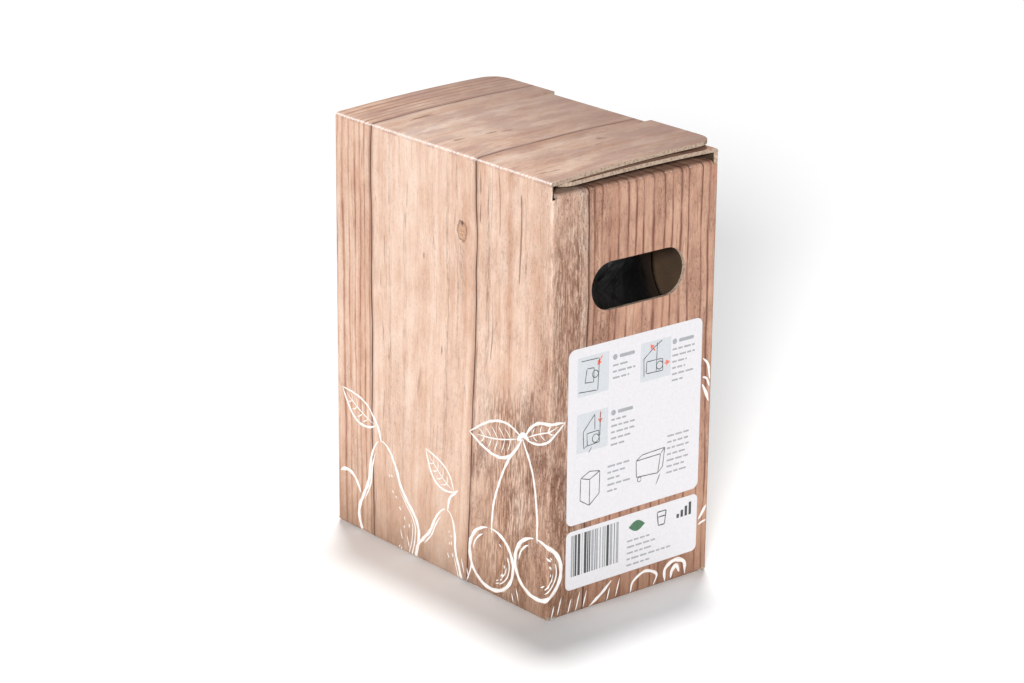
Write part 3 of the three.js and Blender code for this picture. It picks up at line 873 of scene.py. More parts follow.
@dataclass(frozen=True)
class BoardEdge:
    """Die-cut edge of fine-flute board: two pale liners with the flutes between them, whose openings are
    darker with painted shade.
    """

    name: str = "die_cut_board_edge"
    liner: str = "#BBA591"
    flute_hollow_shade: str = "#927B69"

    def build(self) -> bpy.types.Material:
        """Builds the material.

        Returns:
            The material.
        """
        material, tree, shader = new_material(self.name)
        place = add_node(tree, "TexCoord").outputs["Object"]
        # Flute ends are about 1.6 mm apart, drawn as cells of that size whose middles are darker: painted
        # shade in the flutes' openings
        cells = {"Vector": place, "Scale": 620.0}
        cells = add_node(tree, "TexVoronoi", cells, feature="F1").outputs["Distance"]
        fuzz = add_node(tree, "TexNoise", {"Vector": place, "Scale": 900.0, "Detail": 3.0}).outputs["Fac"]
        mix = add_node(tree, "Math", {0: cells, 1: fuzz}, operation="MULTIPLY")
        ramp = add_node(tree, "ValToRGB", {0: mix}, stops=[(0.05, self.flute_hollow_shade), (0.3, self.liner)])
        bump = add_node(tree, "Bump", {"Height": cells, "Strength": 0.25, "Distance": 0.0002})
        fill_sockets(shader, {"Base Color": ramp, "Normal": bump, "Roughness": 0.9})
        return material


@dataclass(frozen=True)
class BarrierFilm:
    """Metallised polyester laminate of a drink bag: bright grey, finely creased, with a soft mirror."""

    name: str = "metallised_barrier_film"
    base: str = "#8A8C90"
    shade: str = "#6E7074"

    def build(self) -> bpy.types.Material:
        """Builds the material.

        Returns:
            The material.
        """
        material, tree, shader = new_material(self.name)
        place = add_node(tree, "TexCoord").outputs["Object"]
        # Creases 8 to 25 mm apart
        crease = {"Vector": place, "Scale": 70.0}
        crease = add_node(tree, "TexVoronoi", crease, feature="DISTANCE_TO_EDGE").outputs["Distance"]
        ripple = {"Vector": place, "Scale": 45.0, "Detail": 5.0, "Distortion": 1.2}
        ripple = add_node(tree, "TexNoise", ripple).outputs["Fac"]
        height = add_node(tree, "Math", {0: crease, 1: 0.6, 2: ripple}, operation="MULTIPLY_ADD")
        bump = add_node(tree, "Bump", {"Height": height, "Strength": 0.55, "Distance": 0.002})
        # The film is darker where the ripples dip: painted shade in its wrinkles
        ramp = add_node(tree, "ValToRGB", {0: ripple}, stops=[(0.3, self.shade), (0.7, self.base)])
        fill_sockets(shader, {"Base Color": ramp, "Normal": bump, "Metallic": 1.0, "Roughness": 0.34})
        return material


@dataclass(frozen=True)
class MouldedPlastic:
    """Injection-moulded polyolefin or rubber: even colour with faint flow and a satin skin."""

    name: str
    base: str
    shade: str
    roughness: float = 0.38
    grain: float = 0.05

    def build(self) -> bpy.types.Material:
        """Builds the material.

        Returns:
            The material.
        """
        material, tree, shader = new_material(self.name)
        place = add_node(tree, "TexCoord").outputs["Object"]
        # Flow marks about 12 mm wide, spark-eroded texture about 0.4 mm
        flow = add_node(tree, "TexNoise", {"Vector": place, "Scale": 80.0, "Detail": 2.0}).outputs["Fac"]
        skin = add_node(tree, "TexNoise", {"Vector": place, "Scale": 2500.0, "Detail": 2.0}).outputs["Fac"]
        ramp = add_node(tree, "ValToRGB", {0: flow}, stops=[(0.3, self.shade), (0.6, self.base)])
        bump = add_node(tree, "Bump", {"Height": skin, "Strength": self.grain, "Distance": 0.0001})
        rough = add_node(tree, "MapRange", {0: skin, 3: self.roughness - 0.05, 4: self.roughness + 0.07})
        fill_sockets(shader, {"Base Color": ramp, "Normal": bump, "Roughness": rough, "IOR": 1.5})
        return material


@dataclass(frozen=True)
class ChalkInk:
    """Opaque white ink laid with a dry brush: full in the middle of a stroke, broken at its edges."""

    name: str = "dry_brushed_white_ink"
    white: str = "#FBF9F6"
    under: str = "#D9B49D"

    def build(self) -> bpy.types.Material:
        """Builds the material.

        Returns:
            The material, which reads the distance along and across each stroke.
        """
        material, tree, shader = new_material(self.name)
        uv = add_node(tree, "UVMap", uv_map="blank")
        # Bristle marks about 0.3 mm wide and 7 mm long
        drawn = add_node(tree, "Mapping", {"Vector": uv, "Scale": (0.14, 2.6, 1.0)})
        drawn = {"Vector": drawn, "Scale": 1.0, "Detail": 3.0}
        bristle = add_node(tree, "TexNoise", drawn, noise_dimensions="2D").outputs["Fac"]
        across = add_node(tree, "SeparateXYZ", {0: uv}).outputs[1]
        rim = add_node(tree, "Math", {0: across}, operation="ABSOLUTE")
        worn = add_node(tree, "Math", {0: rim, 1: 0.32, 2: bristle}, operation="MULTIPLY_ADD")
        ramp = add_node(tree, "ValToRGB", {0: worn}, stops=[(0.74, self.white), (0.9, self.under)])
        fill_sockets(shader, {"Base Color": ramp, "Roughness": 0.55, "IOR": 1.46})
        return material


@dataclass(frozen=True)
class FlatInk:
    """Offset ink on coated white liner: even, with the faint mottle of the paper and a dull sheen."""

    name: str
    base: str
    mottle: str

    def build(self) -> bpy.types.Material:
        """Builds the material.

        Returns:
            The material.
        """
        material, tree, shader = new_material(self.name)
        place = add_node(tree, "TexCoord").outputs["Object"]
        # Paper mottle about 1.5 mm across
        cloud = add_node(tree, "TexNoise", {"Vector": place, "Scale": 650.0, "Detail": 3.0}).outputs["Fac"]
        ramp = add_node(tree, "ValToRGB", {0: cloud}, stops=[(0.3, self.mottle), (0.65, self.base)])
        rough = add_node(tree, "MapRange", {0: cloud, 3: 0.42, 4: 0.56})
        fill_sockets(shader, {"Base Color": ramp, "Roughness": rough, "IOR": 1.46})
        return material


@dataclass(frozen=True)
class StudioFloor:
    """White sweep under plain light: the camera sees it white, and it keeps the shadow."""

    name: str = "white_sweep_paper"
    paper: str = "#F4F4F4"
    fleck: str = "#F2F2F2"
    seen_as: float = 1.02

    def build(self) -> bpy.types.Material:
        """Builds the material.

        Returns:
            The material.
        """
        material, tree, shader = new_material(self.name)
        place = add_node(tree, "TexCoord").outputs["Object"]
        fibre = add_node(tree, "TexNoise", {"Vector": place, "Scale": 900.0, "Detail": 2.0}).outputs["Fac"]
        ramp = add_node(tree, "ValToRGB", {0: fibre}, stops=[(0.3, self.fleck), (0.7, self.paper)])
        fill_sockets(shader, {"Base Color": ramp, "Roughness": 1.0, "Specular IOR Level": 0.0})
        # Seen directly, or in gloss, the sweep is brighter, so that it is white outside the shadow
        rays = add_node(tree, "LightPath").outputs
        seen = rays["Is Camera Ray"]
        for ray in ("Is Glossy Ray", "Is Transmission Ray"):
            seen = add_node(tree, "Math", {0: seen, 1: rays[ray]}, operation="MAXIMUM")
        bright = add_node(tree, "BsdfDiffuse", {"Color": (self.seen_as, self.seen_as, self.seen_as, 1)})
        both = add_node(tree, "MixShader", {0: seen, 1: shader, 2: bright})
        fill_sockets(tree.nodes["Material Output"], {"Surface": both})
        return material


# The folded blank


@dataclass
class CartonBlank:
    """Four walls with their flaps, folded from one sheet, without the outer top flap."""

    printed: bpy.types.Material
    inside: bpy.types.Material
    edge: bpy.types.Material
    sizes: CartonSizes = SIZES
    step: float = 5.5
    fine_step: float = 3.0
    dust_corner: float = 12.0
    back_corner: float = 10.0
    hole_width: float = 62.0
    hole_height: float = 25.0
    hole_centre: tuple = (57.0, 169.1)
    hole_patch: tuple = (40.0, 22.0)
    tab_starts: tuple = (9.3, 105.5)
    tab_width: float = 11.5
    tab_gap: float = 0.35
    notch: tuple = (2.0, 0.4)
    outer_reach: float = 101.2
    outer_end: float = 9.3
    inner_reach: float = 100.2
    dust_reach: float = 49.5
    top_dust_reach: float = 46.0
    inner_top_reach: float = 103.0
    slot_half: float = 38.0
    slot_depth: tuple = (2.0, 7.1)
    door_centre: tuple = (54.5, 0.0)
    door_radius: float = 21.5
    door_patch: float = 27.0
    slit_half: float = 0.3
    opening_radius: float = 23.0
    weld_top: float = 218.6

    def fold_marks(self, low: float, high: float, steps: int = 6) -> list:
        """Lengths at even steps over a crease."""
        return list(np.linspace(low, high, steps + 1))

    def profiles(self) -> dict[str, Profile]:
        """Works out the line across the blank at each wall.

        Returns:
            A profile for each panel's name.
        """
        s, r = self.sizes, self.sizes.fold
        foot = arc((r, r), r, 270, 180, 8)
        crown = s.height
        short = s.short_top
        tab_n = s.width - s.board - 0.3
        curve = np.linspace(0, 1, 25)[:, None]
        start = np.array([[r, crown]])
        middle = np.array([[self.inner_top_reach / 2, crown + 0.9]])
        far = np.array([[self.inner_top_reach, crown - 1.8]])
        bow = (1 - curve) ** 2 * start + 2 * curve * (1 - curve) * middle + curve**2 * far
        front = Profile(
            [[(self.inner_reach, 2.3), (7.6, 2.3)], foot, [(0, r), (0, 100), (0, crown - s.board)]],
            (0, 100),
        )
        sides = Profile(
            [
                [(self.dust_reach, 4.6), (8.5, 4.6)],
                foot,
                [(0, 100), (0, short - r)],
                arc((r, short - r), r, 180, 90, 8),
                [(self.top_dust_reach, short - 1.4)],
            ],
            (0, 100),
        )
        back = Profile(
            [
                [(tab_n, 12.0), (tab_n, r)],
                arc((tab_n - r, r), r, 0, -90, 8),
                [(self.outer_reach, 0), (r, 0)],
                foot,
                [(0, 100), (0, crown - r)],
                arc((r, crown - r), r, 180, 90, 8),
                bow,
            ],
            (0, 100),
        )
        return {"front": front, "right": sides, "left": sides, "back": back}

    def corner_marks(self, span: float) -> list:
        """Columns over both rounded upright corners."""
        near = np.linspace(0, self.sizes.corner, 5)
        return [*near, *(span - near)]

    def sheet(
        self,
        panel: Panel,
        profile: Profile,
        columns: np.ndarray,
        rows: np.ndarray,
        side_cut: Callable,
        keep: Callable,
        nudge: Callable | None = None,
        patches: tuple = (),
    ) -> Surface:
        """Folds one panel of the blank.

        A vertex at column a and row t stands at the profile's depth and height for t. Where a flap has a
        side cut, the columns within 20 mm of that side close up towards the middle by the cut.

        Args:
            panel: The wall.
            profile: The line across it.
            columns: Distances along the wall.
            rows: Lengths along the profile.
            side_cut: Function of the rows that gives each row's cut at its sides, or a negative number
                where the row is joined to its neighbours.
            keep: Function of the cells' middles (a, t) that says which stay.
            nudge: Function that moves the lattice's (a, t) before folding.
            patches: Lattices in the flat, as arrays of (a, t), with the faces between them.

        Returns:
            The folded surface.
        """
        t, a = np.meshgrid(rows, columns, indexing="ij")
        if nudge is not None:
            a, t = nudge(a, t)
        centre_a = (columns[1:] + columns[:-1]) / 2
        centre_t = (rows[1:] + rows[:-1]) / 2
        cell_t, cell_a = np.meshgrid(centre_t, centre_a, indexing="ij")
        faces = grid_faces(len(rows), len(columns), keep(cell_a, cell_t))
        flat = np.stack([a.ravel(), t.ravel()], axis=-1)
        for extra, extra_faces in patches:
            faces += [tuple(i + len(flat) for i in face) for face in extra_faces]
            flat = np.concatenate([flat, extra])
        a, t = flat[:, 0].copy(), flat[:, 1]
        cut = side_cut(t)
        joined = cut < 0
        cut = np.maximum(cut, 0)
        zone = 20.0
        a += cut * (1 - np.clip(a / zone, 0, 1))
        a -= cut * (1 - np.clip((panel.span - a) / zone, 0, 1))
        uv = np.stack([panel.u_start + a, t], axis=-1)
        n, z = profile.place(t)
        round_a, round_n = panel.rounded(a, n)
        a = np.where(joined, round_a, a)
        n = np.where(joined, round_n, n)
        return Surface(panel.point(a, n, z), faces, uv)

    def flap_cut(
        self, t: np.ndarray, low: float, high: float, below: float, above: float, end: float, radius: float
    ) -> np.ndarray:
        """Side cut of a panel: none on its wall, a fixed one on each flap, and a round at the free corner.

        At distance d from the free edge, less than the radius, the extra cut is radius times the square of
        1 - sqrt(d / radius), which is the die's curve.

        Args:
            t: Lengths along the profile.
            low: Where the bottom flap's side cut ends.
            high: Where the top flap's side cut begins.
            below: Cut at the bottom flap.
            above: Cut at the top flap.
            end: Length at the top flap's free edge.
            radius: Radius of its free corners.

        Returns:
            The cut for each length, or -1 on the wall.
        """
        cut = np.where(t < low - 1e-4, below, np.where(t > high + 1e-4, above, -1.0))
        if radius:
            off = np.clip((end - t) / radius, 0, 1)
            cut = np.where(off < 1, above + radius * (1 - np.sqrt(off)) ** 2, cut)
        return cut

    def corner_rows(self, end: float, radius: float) -> list:
        """Rows that follow a free corner's curve."""
        s = np.linspace(0, 1, 9)
        return list(end - radius * (1 - s) ** 2)

    def ring_patch(
        self, inner: Callable, columns: np.ndarray, rows: np.ndarray, box: tuple, shares: list
    ) -> tuple:
        """A ring of faces between a hole and the lattice round it.

        Each vertex of the box's border goes in a straight line to the hole's outline.

        Args:
            inner: Function that gives the outline's point for each border point.
            columns: The lattice's columns.
            rows: The lattice's rows.
            box: Low a, high a, low t and high t of the patch.
            shares: Places along the line, from 0 at the hole to 1 at the border.

        Returns:
            The patch's points and faces.
        """
        near_a = columns[(columns > box[0] - 1e-4) & (columns < box[1] + 1e-4)]
        near_t = rows[(rows > box[2] - 1e-4) & (rows < box[3] + 1e-4)]
        sides = [(near_a[:-1], near_t[:1]), (near_a[-1:], near_t[:-1])]
        sides += [(near_a[:0:-1], near_t[-1:]), (near_a[:1], near_t[:0:-1])]
        border = np.concatenate([np.stack(np.broadcast_arrays(a, t), axis=-1) for a, t in sides])
        hole = inner(border)
        rings = [hole + share * (border - hole) for share in shares]
        count = len(border)
        points = np.concatenate([np.concatenate([ring, ring[:1]]) for ring in rings])
        # Rows run outwards and columns round the hole, so the faces are turned to face outwards
        faces = [tuple(reversed(f)) for f in grid_faces(len(rings), count + 1)]
        return points, faces

    def hole_outline(self, border: np.ndarray) -> np.ndarray:
        """The nearest point of the hand hole's outline, a segment widened by its radius.

        Args:
            border: Points round the hole.

        Returns:
            Points of the outline.
        """
        radius = self.hole_height / 2
        half = self.hole_width / 2 - radius
        centre = np.asarray(self.hole_centre)
        middle = np.clip(border[:, 0], centre[0] - half, centre[0] + half)
        spine = np.stack([middle, np.full(len(border), centre[1])], axis=-1)
        away = border - spine
        return spine + radius * away / np.linalg.norm(away, axis=1, keepdims=True)

    def to_opening(self, a: np.ndarray, t: np.ndarray, centre: tuple) -> tuple[np.ndarray, np.ndarray]:
        """Moves the lattice points beside the tap's round opening onto its edge.

        A point less than 0.7 of a step from the circle goes straight towards or from its centre.

        Args:
            a: Distances along the wall.
            t: Lengths along the profile.
            centre: Centre (a, t) of the opening.

        Returns:
            The moved distances and lengths.
        """
        off_a, off_t = a - centre[0], t - centre[1]
        gone = np.maximum(np.hypot(off_a, off_t), 1e-6)
        near = np.abs(gone - self.opening_radius) < 0.7 * self.step
        size = np.where(near, self.opening_radius / gone, 1.0)
        return centre[0] + off_a * size, centre[1] + off_t * size

    def front_sheet(self, profile: Profile, wall_rows: list) -> Surface:
        """Front wall and inner bottom flap, with the two notches for the lock tabs.

        Args:
            profile: The line across the panel.
            wall_rows: Rows shared by the four walls.

        Returns:
            The surface.
        """
        r = self.sizes.fold
        foot_low = r - r * math.pi / 2
        wedge_rows = [r - r * math.acos(1 - (r - h) / r) for h in self.notch]
        slot_low = np.interp(-8.0, -profile.points[:9, 0], profile.t[:9])
        marks = [profile.t[0], slot_low, *self.fold_marks(foot_low, r, 8), wedge_rows[0]]
        marks += [*wall_rows, self.weld_top, self.sizes.height - self.sizes.board]
        rows = lattice_line(marks, self.step)
        spans = [(start, start + self.tab_width) for start in self.tab_starts]
        flap = [self.outer_end, self.sizes.length - self.outer_end]
        marks = [*self.corner_marks(self.sizes.length), *(x for s in spans for x in s), *flap]
        columns = lattice_line(marks, self.step)
        opening = (HALF_X + self.door_centre[0], profile.t[0] + self.inner_reach - HALF_Y)

        def nudge(a: np.ndarray, t: np.ndarray) -> tuple[np.ndarray, np.ndarray]:
            """Rounds the tap's opening, and slopes the notches' top down from left to right."""
            a, t = self.to_opening(a, t, opening)
            moved = t.copy()
            for low, high in spans:
                here = (a > low - 1e-4) & (a < high + 1e-4) & (np.abs(t - wedge_rows[0]) < 1e-4)
                share = np.clip((a - low) / (high - low), 0, 1)
                target = wedge_rows[0] + share * (wedge_rows[1] - wedge_rows[0])
                moved = np.where(here, target, moved)
                under = (a > low - 1e-4) & (a < high + 1e-4) & (t < wedge_rows[0] - 1e-4) & (t > target)
                moved = np.where(under, target, moved)
            return a, moved

        def keep(a: np.ndarray, t: np.ndarray) -> np.ndarray:
            """Everything but the notches, the tap's opening and the ends beside the flap."""
            stays = ~((t < foot_low) & ((a < flap[0]) | (a > flap[1])))
            stays &= np.hypot(a - opening[0], t - opening[1]) > self.opening_radius
            for low, high in spans:
                stays &= ~((a > low) & (a < high) & (t > slot_low) & (t < wedge_rows[0]))
            return stays

        def cut(t: np.ndarray) -> np.ndarray:
            """The crease's ends stand back a little from the corner."""
            return np.where(t < r - 1e-4, 0.5, -1.0)

        return self.sheet(FRONT, profile, columns, rows, cut, keep, nudge)

    def side_sheet(self, panel: Panel, profile: Profile, wall_rows: list, hole: bool) -> Surface:
        """A short wall with its dust flaps, and the hand hole in one of them.

        Args:
            panel: The wall.
            profile: The line across it.
            wall_rows: Rows shared by the four walls.
            hole: Whether the hand hole is cut here.

        Returns:
            The surface.
        """
        r, end = self.sizes.fold, profile.t[-1]
        foot_low = r - r * math.pi / 2
        crown_high = self.weld_top + r * math.pi / 2
        marks = [profile.t[0], foot_low - 6.5, *self.fold_marks(foot_low, r), *wall_rows]
        marks += [*self.fold_marks(self.weld_top, crown_high), *self.corner_rows(end, self.dust_corner)]
        (hole_a, hole_t), (reach_a, reach_t) = self.hole_centre, self.hole_patch
        box = (hole_a - reach_a, hole_a + reach_a, hole_t - reach_t, hole_t + reach_t)
        rows = lattice_line(marks, self.step)
        ends = [*self.corner_marks(panel.span), box[0], box[1]]
        columns = lattice_line(ends, self.fine_step if hole else self.step)
        door_x, door_y = self.door_centre
        opening = (HALF_Y - door_y, profile.t[0] + self.dust_reach - HALF_X + door_x)

        def nudge(a: np.ndarray, t: np.ndarray) -> tuple[np.ndarray, np.ndarray]:
            """Rounds the tap's opening."""
            return self.to_opening(a, t, opening)

        def keep(a: np.ndarray, t: np.ndarray) -> np.ndarray:
            """Everything but the hand hole's patch and the tap's opening."""
            inside = (a > box[0]) & (a < box[1]) & (t > box[2]) & (t < box[3])
            inside |= np.hypot(a - opening[0], t - opening[1]) < self.opening_radius
            return ~inside if hole else np.ones_like(inside)

        def cut(t: np.ndarray) -> np.ndarray:
            """The dust flaps' side cuts and round corners."""
            return self.flap_cut(t, r, self.weld_top, 5.5, 3.5, end, self.dust_corner)

        patches = ()
        if hole:
            patches = (self.ring_patch(self.hole_outline, columns, rows, box, [0, 0.08, 0.3, 0.65, 1]),)
        return self.sheet(panel, profile, columns, rows, cut, keep, nudge if hole else None, patches)

    def back_sheet(self, profile: Profile, wall_rows: list) -> Surface:
        """Back wall, outer bottom flap with its lock tabs and tap door, and inner top flap.

        Args:
            profile: The line across the panel.
            wall_rows: Rows shared by the four walls.

        Returns:
            The surface.
        """
        s, r = self.sizes, self.sizes.fold
        end = profile.t[-1]
        foot_low = r - r * math.pi / 2
        crown_low = s.height - r
        crown_high = crown_low + r * math.pi / 2
        edge = foot_low - (self.outer_reach - r)
        tab_fold = edge - (s.width - s.board - 0.3 - r - self.outer_reach)
        slot = [crown_high + depth - r for depth in self.slot_depth]
        slot[0] = crown_high - 0.25
        marks = [profile.t[0], *self.fold_marks(tab_fold - r * math.pi / 2, tab_fold), edge]
        marks += [*self.fold_marks(foot_low, r), *wall_rows, self.weld_top, crown_low]
        marks += [*self.fold_marks(crown_low, crown_high), *slot, *self.corner_rows(end, self.back_corner)]
        spans = [
            (s.length - start - self.tab_width + self.tab_gap, s.length - start - self.tab_gap)
            for start in self.tab_starts
        ]
        flap = [self.outer_end, s.length - self.outer_end]
        slot_span = [s.length / 2 - self.slot_half, s.length / 2 + self.slot_half]
        door_a = HALF_X - self.door_centre[0]
        door_t = foot_low - (HALF_Y - self.door_centre[1] - r)
        half = self.door_patch
        box = (door_a - half, door_a + half, door_t - half, door_t + half)
        span_marks = [x for pair in spans for x in pair]
        outside = [*self.corner_marks(s.length), *flap, *slot_span, *span_marks]
        columns = lattice_line([*outside, box[0], box[1]], self.fine_step)
        rows = lattice_line([*marks, box[2], box[3]], self.fine_step)

        def keep(a: np.ndarray, t: np.ndarray) -> np.ndarray:
            """Everything but the ends beside the bottom flap, the tongue's slot and the door's patch."""
            stays = ~((t < foot_low) & ((a < flap[0]) | (a > flap[1])))
            in_tab = np.zeros_like(stays)
            for low, high in spans:
                in_tab |= (a > low) & (a < high)
            stays &= ~((t < edge) & ~in_tab)
            stays &= ~((a > slot_span[0]) & (a < slot_span[1]) & (t > slot[0]) & (t < slot[1]))
            return stays & ~((a > box[0]) & (a < box[1]) & (t > box[2]) & (t < box[3]))

        def cut(t: np.ndarray) -> np.ndarray:
            """The flaps' side cuts and round corners."""
            return self.flap_cut(t, r, crown_low, 0.5, 0.5, end, self.back_corner)

        def door_rim(border: np.ndarray) -> np.ndarray:
            """The door's circle: the border point brought to the door's radius plus half the slit."""
            away = border - np.array([door_a, door_t])
            away = (self.door_radius + self.slit_half) * away / np.linalg.norm(away, axis=1, keepdims=True)
            return np.array([door_a, door_t]) + away

        outer = self.ring_patch(door_rim, columns, rows, box, [0, 0.4, 1])
        patches = (outer, self.door_disc(outer, door_a, door_t))
        return self.sheet(BACK, profile, columns, rows, cut, keep, None, patches)

    def door_disc(self, outer: tuple, door_a: float, door_t: float) -> tuple:
        """The tap door inside its ring of slits: three faces in four of the narrow ring are left out.

        Args:
            outer: The patch round the door, whose first ring is the slits' outer side.
            door_a: The door's centre along the wall.
            door_t: The door's centre along the profile.

        Returns:
            The disc's points and faces.
        """
        points, faces = outer
        count = len(faces) // 2
        ring = points[:count]
        centre = np.array([door_a, door_t])
        slit = (self.door_radius - self.slit_half) / (self.door_radius + self.slit_half)
        shares = [1.0, slit, 0.7, 0.35]
        rings = [centre + share * (np.concatenate([ring, ring[:1]]) - centre) for share in shares]
        keep = np.ones((3, count), bool)
        angle = np.arctan2(ring[:, 1] - door_t, ring[:, 0] - door_a)
        keep[0] = np.mod(angle * 18 / (2 * np.pi), 1.0) > 0.72
        disc = grid_faces(4, count + 1, keep)
        heart = tuple(3 * (count + 1) + i for i in reversed(range(count)))
        return np.concatenate(rings), [*disc, heart[::-1]]

    def crease_attribute(self, piece: bpy.types.Object) -> None:
        """Marks how close each vertex is to a worn crease, for the print's wear and painted highlight there.

        The mark is 1 on the top creases and the upright corners and falls to 0 within 2.2 mm.

        Args:
            piece: The printed piece.
        """
        mesh = piece.data
        co = np.empty(len(mesh.vertices) * 3)
        mesh.vertices.foreach_get("co", co)
        co = co.reshape(-1, 3) / MM
        off_x = HALF_X - np.abs(co[:, 0])
        off_y = HALF_Y - np.abs(co[:, 1])
        upright = np.hypot(np.maximum(off_x, 0), np.maximum(off_y, 0))
        short = np.hypot(off_x, co[:, 2] - self.sizes.short_top)
        long = np.hypot(off_y, co[:, 2] - self.sizes.height)
        near = np.minimum(np.minimum(short, long), upright * 1.6 + 0.2)
        mark = np.clip(1 - near / 2.2, 0, 1)
        attribute = mesh.attributes.new("crease", "FLOAT", "POINT")
        attribute.data.foreach_set("value", mark.astype(np.float32))

    def build(self) -> bpy.types.Object:
        """Builds the folded blank as one sheet of board.

        Returns:
            The carton body.
        """
        profiles = self.profiles()
        low = self.hole_centre[1] - self.hole_patch[1]
        high = self.hole_centre[1] + self.hole_patch[1]
        wall_rows = list(lattice_line([self.sizes.fold, low, high, self.weld_top], self.step))
        surface = self.front_sheet(profiles["front"], wall_rows)
        surface = surface.joined(self.side_sheet(RIGHT, profiles["right"], wall_rows, True))
        surface = surface.joined(self.back_sheet(profiles["back"], wall_rows))
        surface = surface.joined(self.side_sheet(LEFT, profiles["left"], wall_rows, False))
        finishes = [self.printed, self.inside, self.edge]
        piece = build_object("carton_blank", surface, finishes, Body.CARTON, Slot.PRINTED_BOARD)
        self.crease_attribute(piece)
        give_thickness(piece, self.sizes.board)
        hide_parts("carton_body")
        return piece


@dataclass
class TopFlap:
    """The outer top flap, bowed over the flaps beneath it, with its tuck tongue in the back slot."""

    printed: bpy.types.Material
    inside: bpy.types.Material
    edge: bpy.types.Material
    sizes: CartonSizes = SIZES
    reach: float = 108.0
    rise: float = 4.3
    side: float = 1.0
    corner: float = 13.0
    crease: float = 1.8
    notch_half: float = 38.0
    tongue_half: float = 36.5
    tongue_root: float = 99.5
    bend: float = 2.6
    tongue_depth: float = 16.0
    tongue_corner: float = 9.0
    step: float = 4.5

    def height_at(self, n: np.ndarray) -> np.ndarray:
        """Height of the upper face: the crease's height plus the rise times 1 - (1 - n / reach) squared."""
        return self.sizes.height + self.rise * (1 - (1 - n / self.reach) ** 2)

    def profile(self, tongue: bool) -> Profile:
        """The line across the flap from the front crease.

        Args:
            tongue: Whether it goes down the tongue or on to the free edge.

        Returns:
            The profile.
        """
        r, low = self.crease, self.sizes.height - self.sizes.board + 0.04
        slope = math.degrees(math.atan(2 * self.rise / self.reach))
        crown = self.height_at(np.array([0.0]))[0] + 0.06
        parts = [[(0, low), (0, crown - r)], arc((r, crown - r), r, 180, 90 + slope, 7)]
        face = self.sizes.width - self.sizes.board - 1.6
        stop = face - self.bend if tongue else self.reach
        n = np.linspace(r + 0.8, stop, 40)
        parts.append(np.stack([n, self.height_at(n)], axis=-1))
        if tongue:
            top = self.height_at(np.array([stop]))[0]
            parts.append(arc((stop, top - self.bend), self.bend, 90, 0, 8))
            parts.append([(face, top - self.tongue_depth)])
        return Profile(parts, (0, low))

    def build(self, carton: CartonBlank) -> bpy.types.Object:
        """Builds the flap as one sheet of board.

        Args:
            carton: The blank, whose folding it shares.

        Returns:
            The flap.
        """
        plate_line = self.profile(False)
        tongue_line = self.profile(True)
        root_t = float(np.interp(self.tongue_root, plate_line.points[:, 0], plate_line.t))
        end = plate_line.t[-1]
        s = self.sizes
        marks = [*plate_line.t[:10], root_t, *carton.corner_rows(end, self.corner)]
        rows = lattice_line(marks, self.step)
        middle = s.length / 2
        sides = [sign * half for sign in (-1, 1) for half in (self.notch_half, self.tongue_half)]
        columns = lattice_line([0, s.length, *(middle + side for side in sides)], self.step)

        def keep(a: np.ndarray, t: np.ndarray) -> np.ndarray:
            """The plate without the part that becomes the tongue."""
            return ~((np.abs(a - middle) < self.notch_half) & (t > root_t))

        def cut(t: np.ndarray) -> np.ndarray:
            """The plate's side inset and round corners."""
            return np.maximum(carton.flap_cut(t, -1000, -900, 0, self.side, end, self.corner), 0)

        plate = carton.sheet(FRONT, plate_line, columns, rows, cut, keep)
        marks = [root_t, *tongue_line.t[-10:-1], *carton.corner_rows(tongue_line.t[-1], self.tongue_corner)]
        tongue_rows = lattice_line(marks, carton.fine_step)
        tongue_columns = columns[np.abs(columns - middle) < self.tongue_half + 1e-4]

        def narrow(a: np.ndarray, t: np.ndarray) -> tuple[np.ndarray, np.ndarray]:
            """Draws the tongue's sides in, by the corner's radius times (1 - sqrt(off)) squared."""
            off = np.clip((tongue_line.t[-1] - t) / self.tongue_corner, 0, 1)
            drawn = self.tongue_corner * (1 - np.sqrt(off)) ** 2
            return middle + (a - middle) * (1 - drawn / self.tongue_half), t

        whole = (np.zeros_like, lambda a, t: np.ones(a.shape, bool))
        tongue = carton.sheet(FRONT, tongue_line, tongue_columns, tongue_rows, *whole, narrow)
        finishes = [self.printed, self.inside, self.edge]
        piece = build_object("outer_top_flap", plate.joined(tongue), finishes, Body.LID, Slot.FLAP_BOARD)
        carton.crease_attribute(piece)
        give_thickness(piece, s.board)
        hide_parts("top_flap")
        return piece


# Printed artwork and label fields


def on_blank(u: np.ndarray, v: np.ndarray, lift: float) -> np.ndarray:
    """Places points of the flat print on the folded walls, a little in front of the board.

    A wall point stands at the lift before the wall's face. Near an upright corner it goes round the
    corner's arc, and near the floor round the bottom crease's arc.

    Args:
        u: Distance round the walls.
        v: Height up the walls.
        lift: Distance before the board.

    Returns:
        Points in millimetres.
    """
    radius, fold = SIZES.corner, SIZES.fold
    points = np.zeros((len(u), 3))
    for panel in (FRONT, RIGHT):
        a = u - panel.u_start
        here = (a >= 0) & (a <= panel.span)
        near = np.minimum(a, panel.span - a)
        angle = np.pi / 4 * (1 - np.clip(near / radius, 0, 1))
        along = np.where(near < radius, radius - (radius + lift) * np.sin(angle), near)
        depth = np.where(near < radius, radius - (radius + lift) * np.cos(angle), -lift)
        along = np.where(a < panel.span / 2, along, panel.span - along)
        turn = np.clip((fold - v) / fold, 0, math.pi / 2)
        depth = depth + fold * (1 - np.cos(turn))
        z = np.where(v < fold, fold - (fold + lift) * np.sin(turn), v)
        points[here] = panel.point(along, depth, z)[here]
    return points


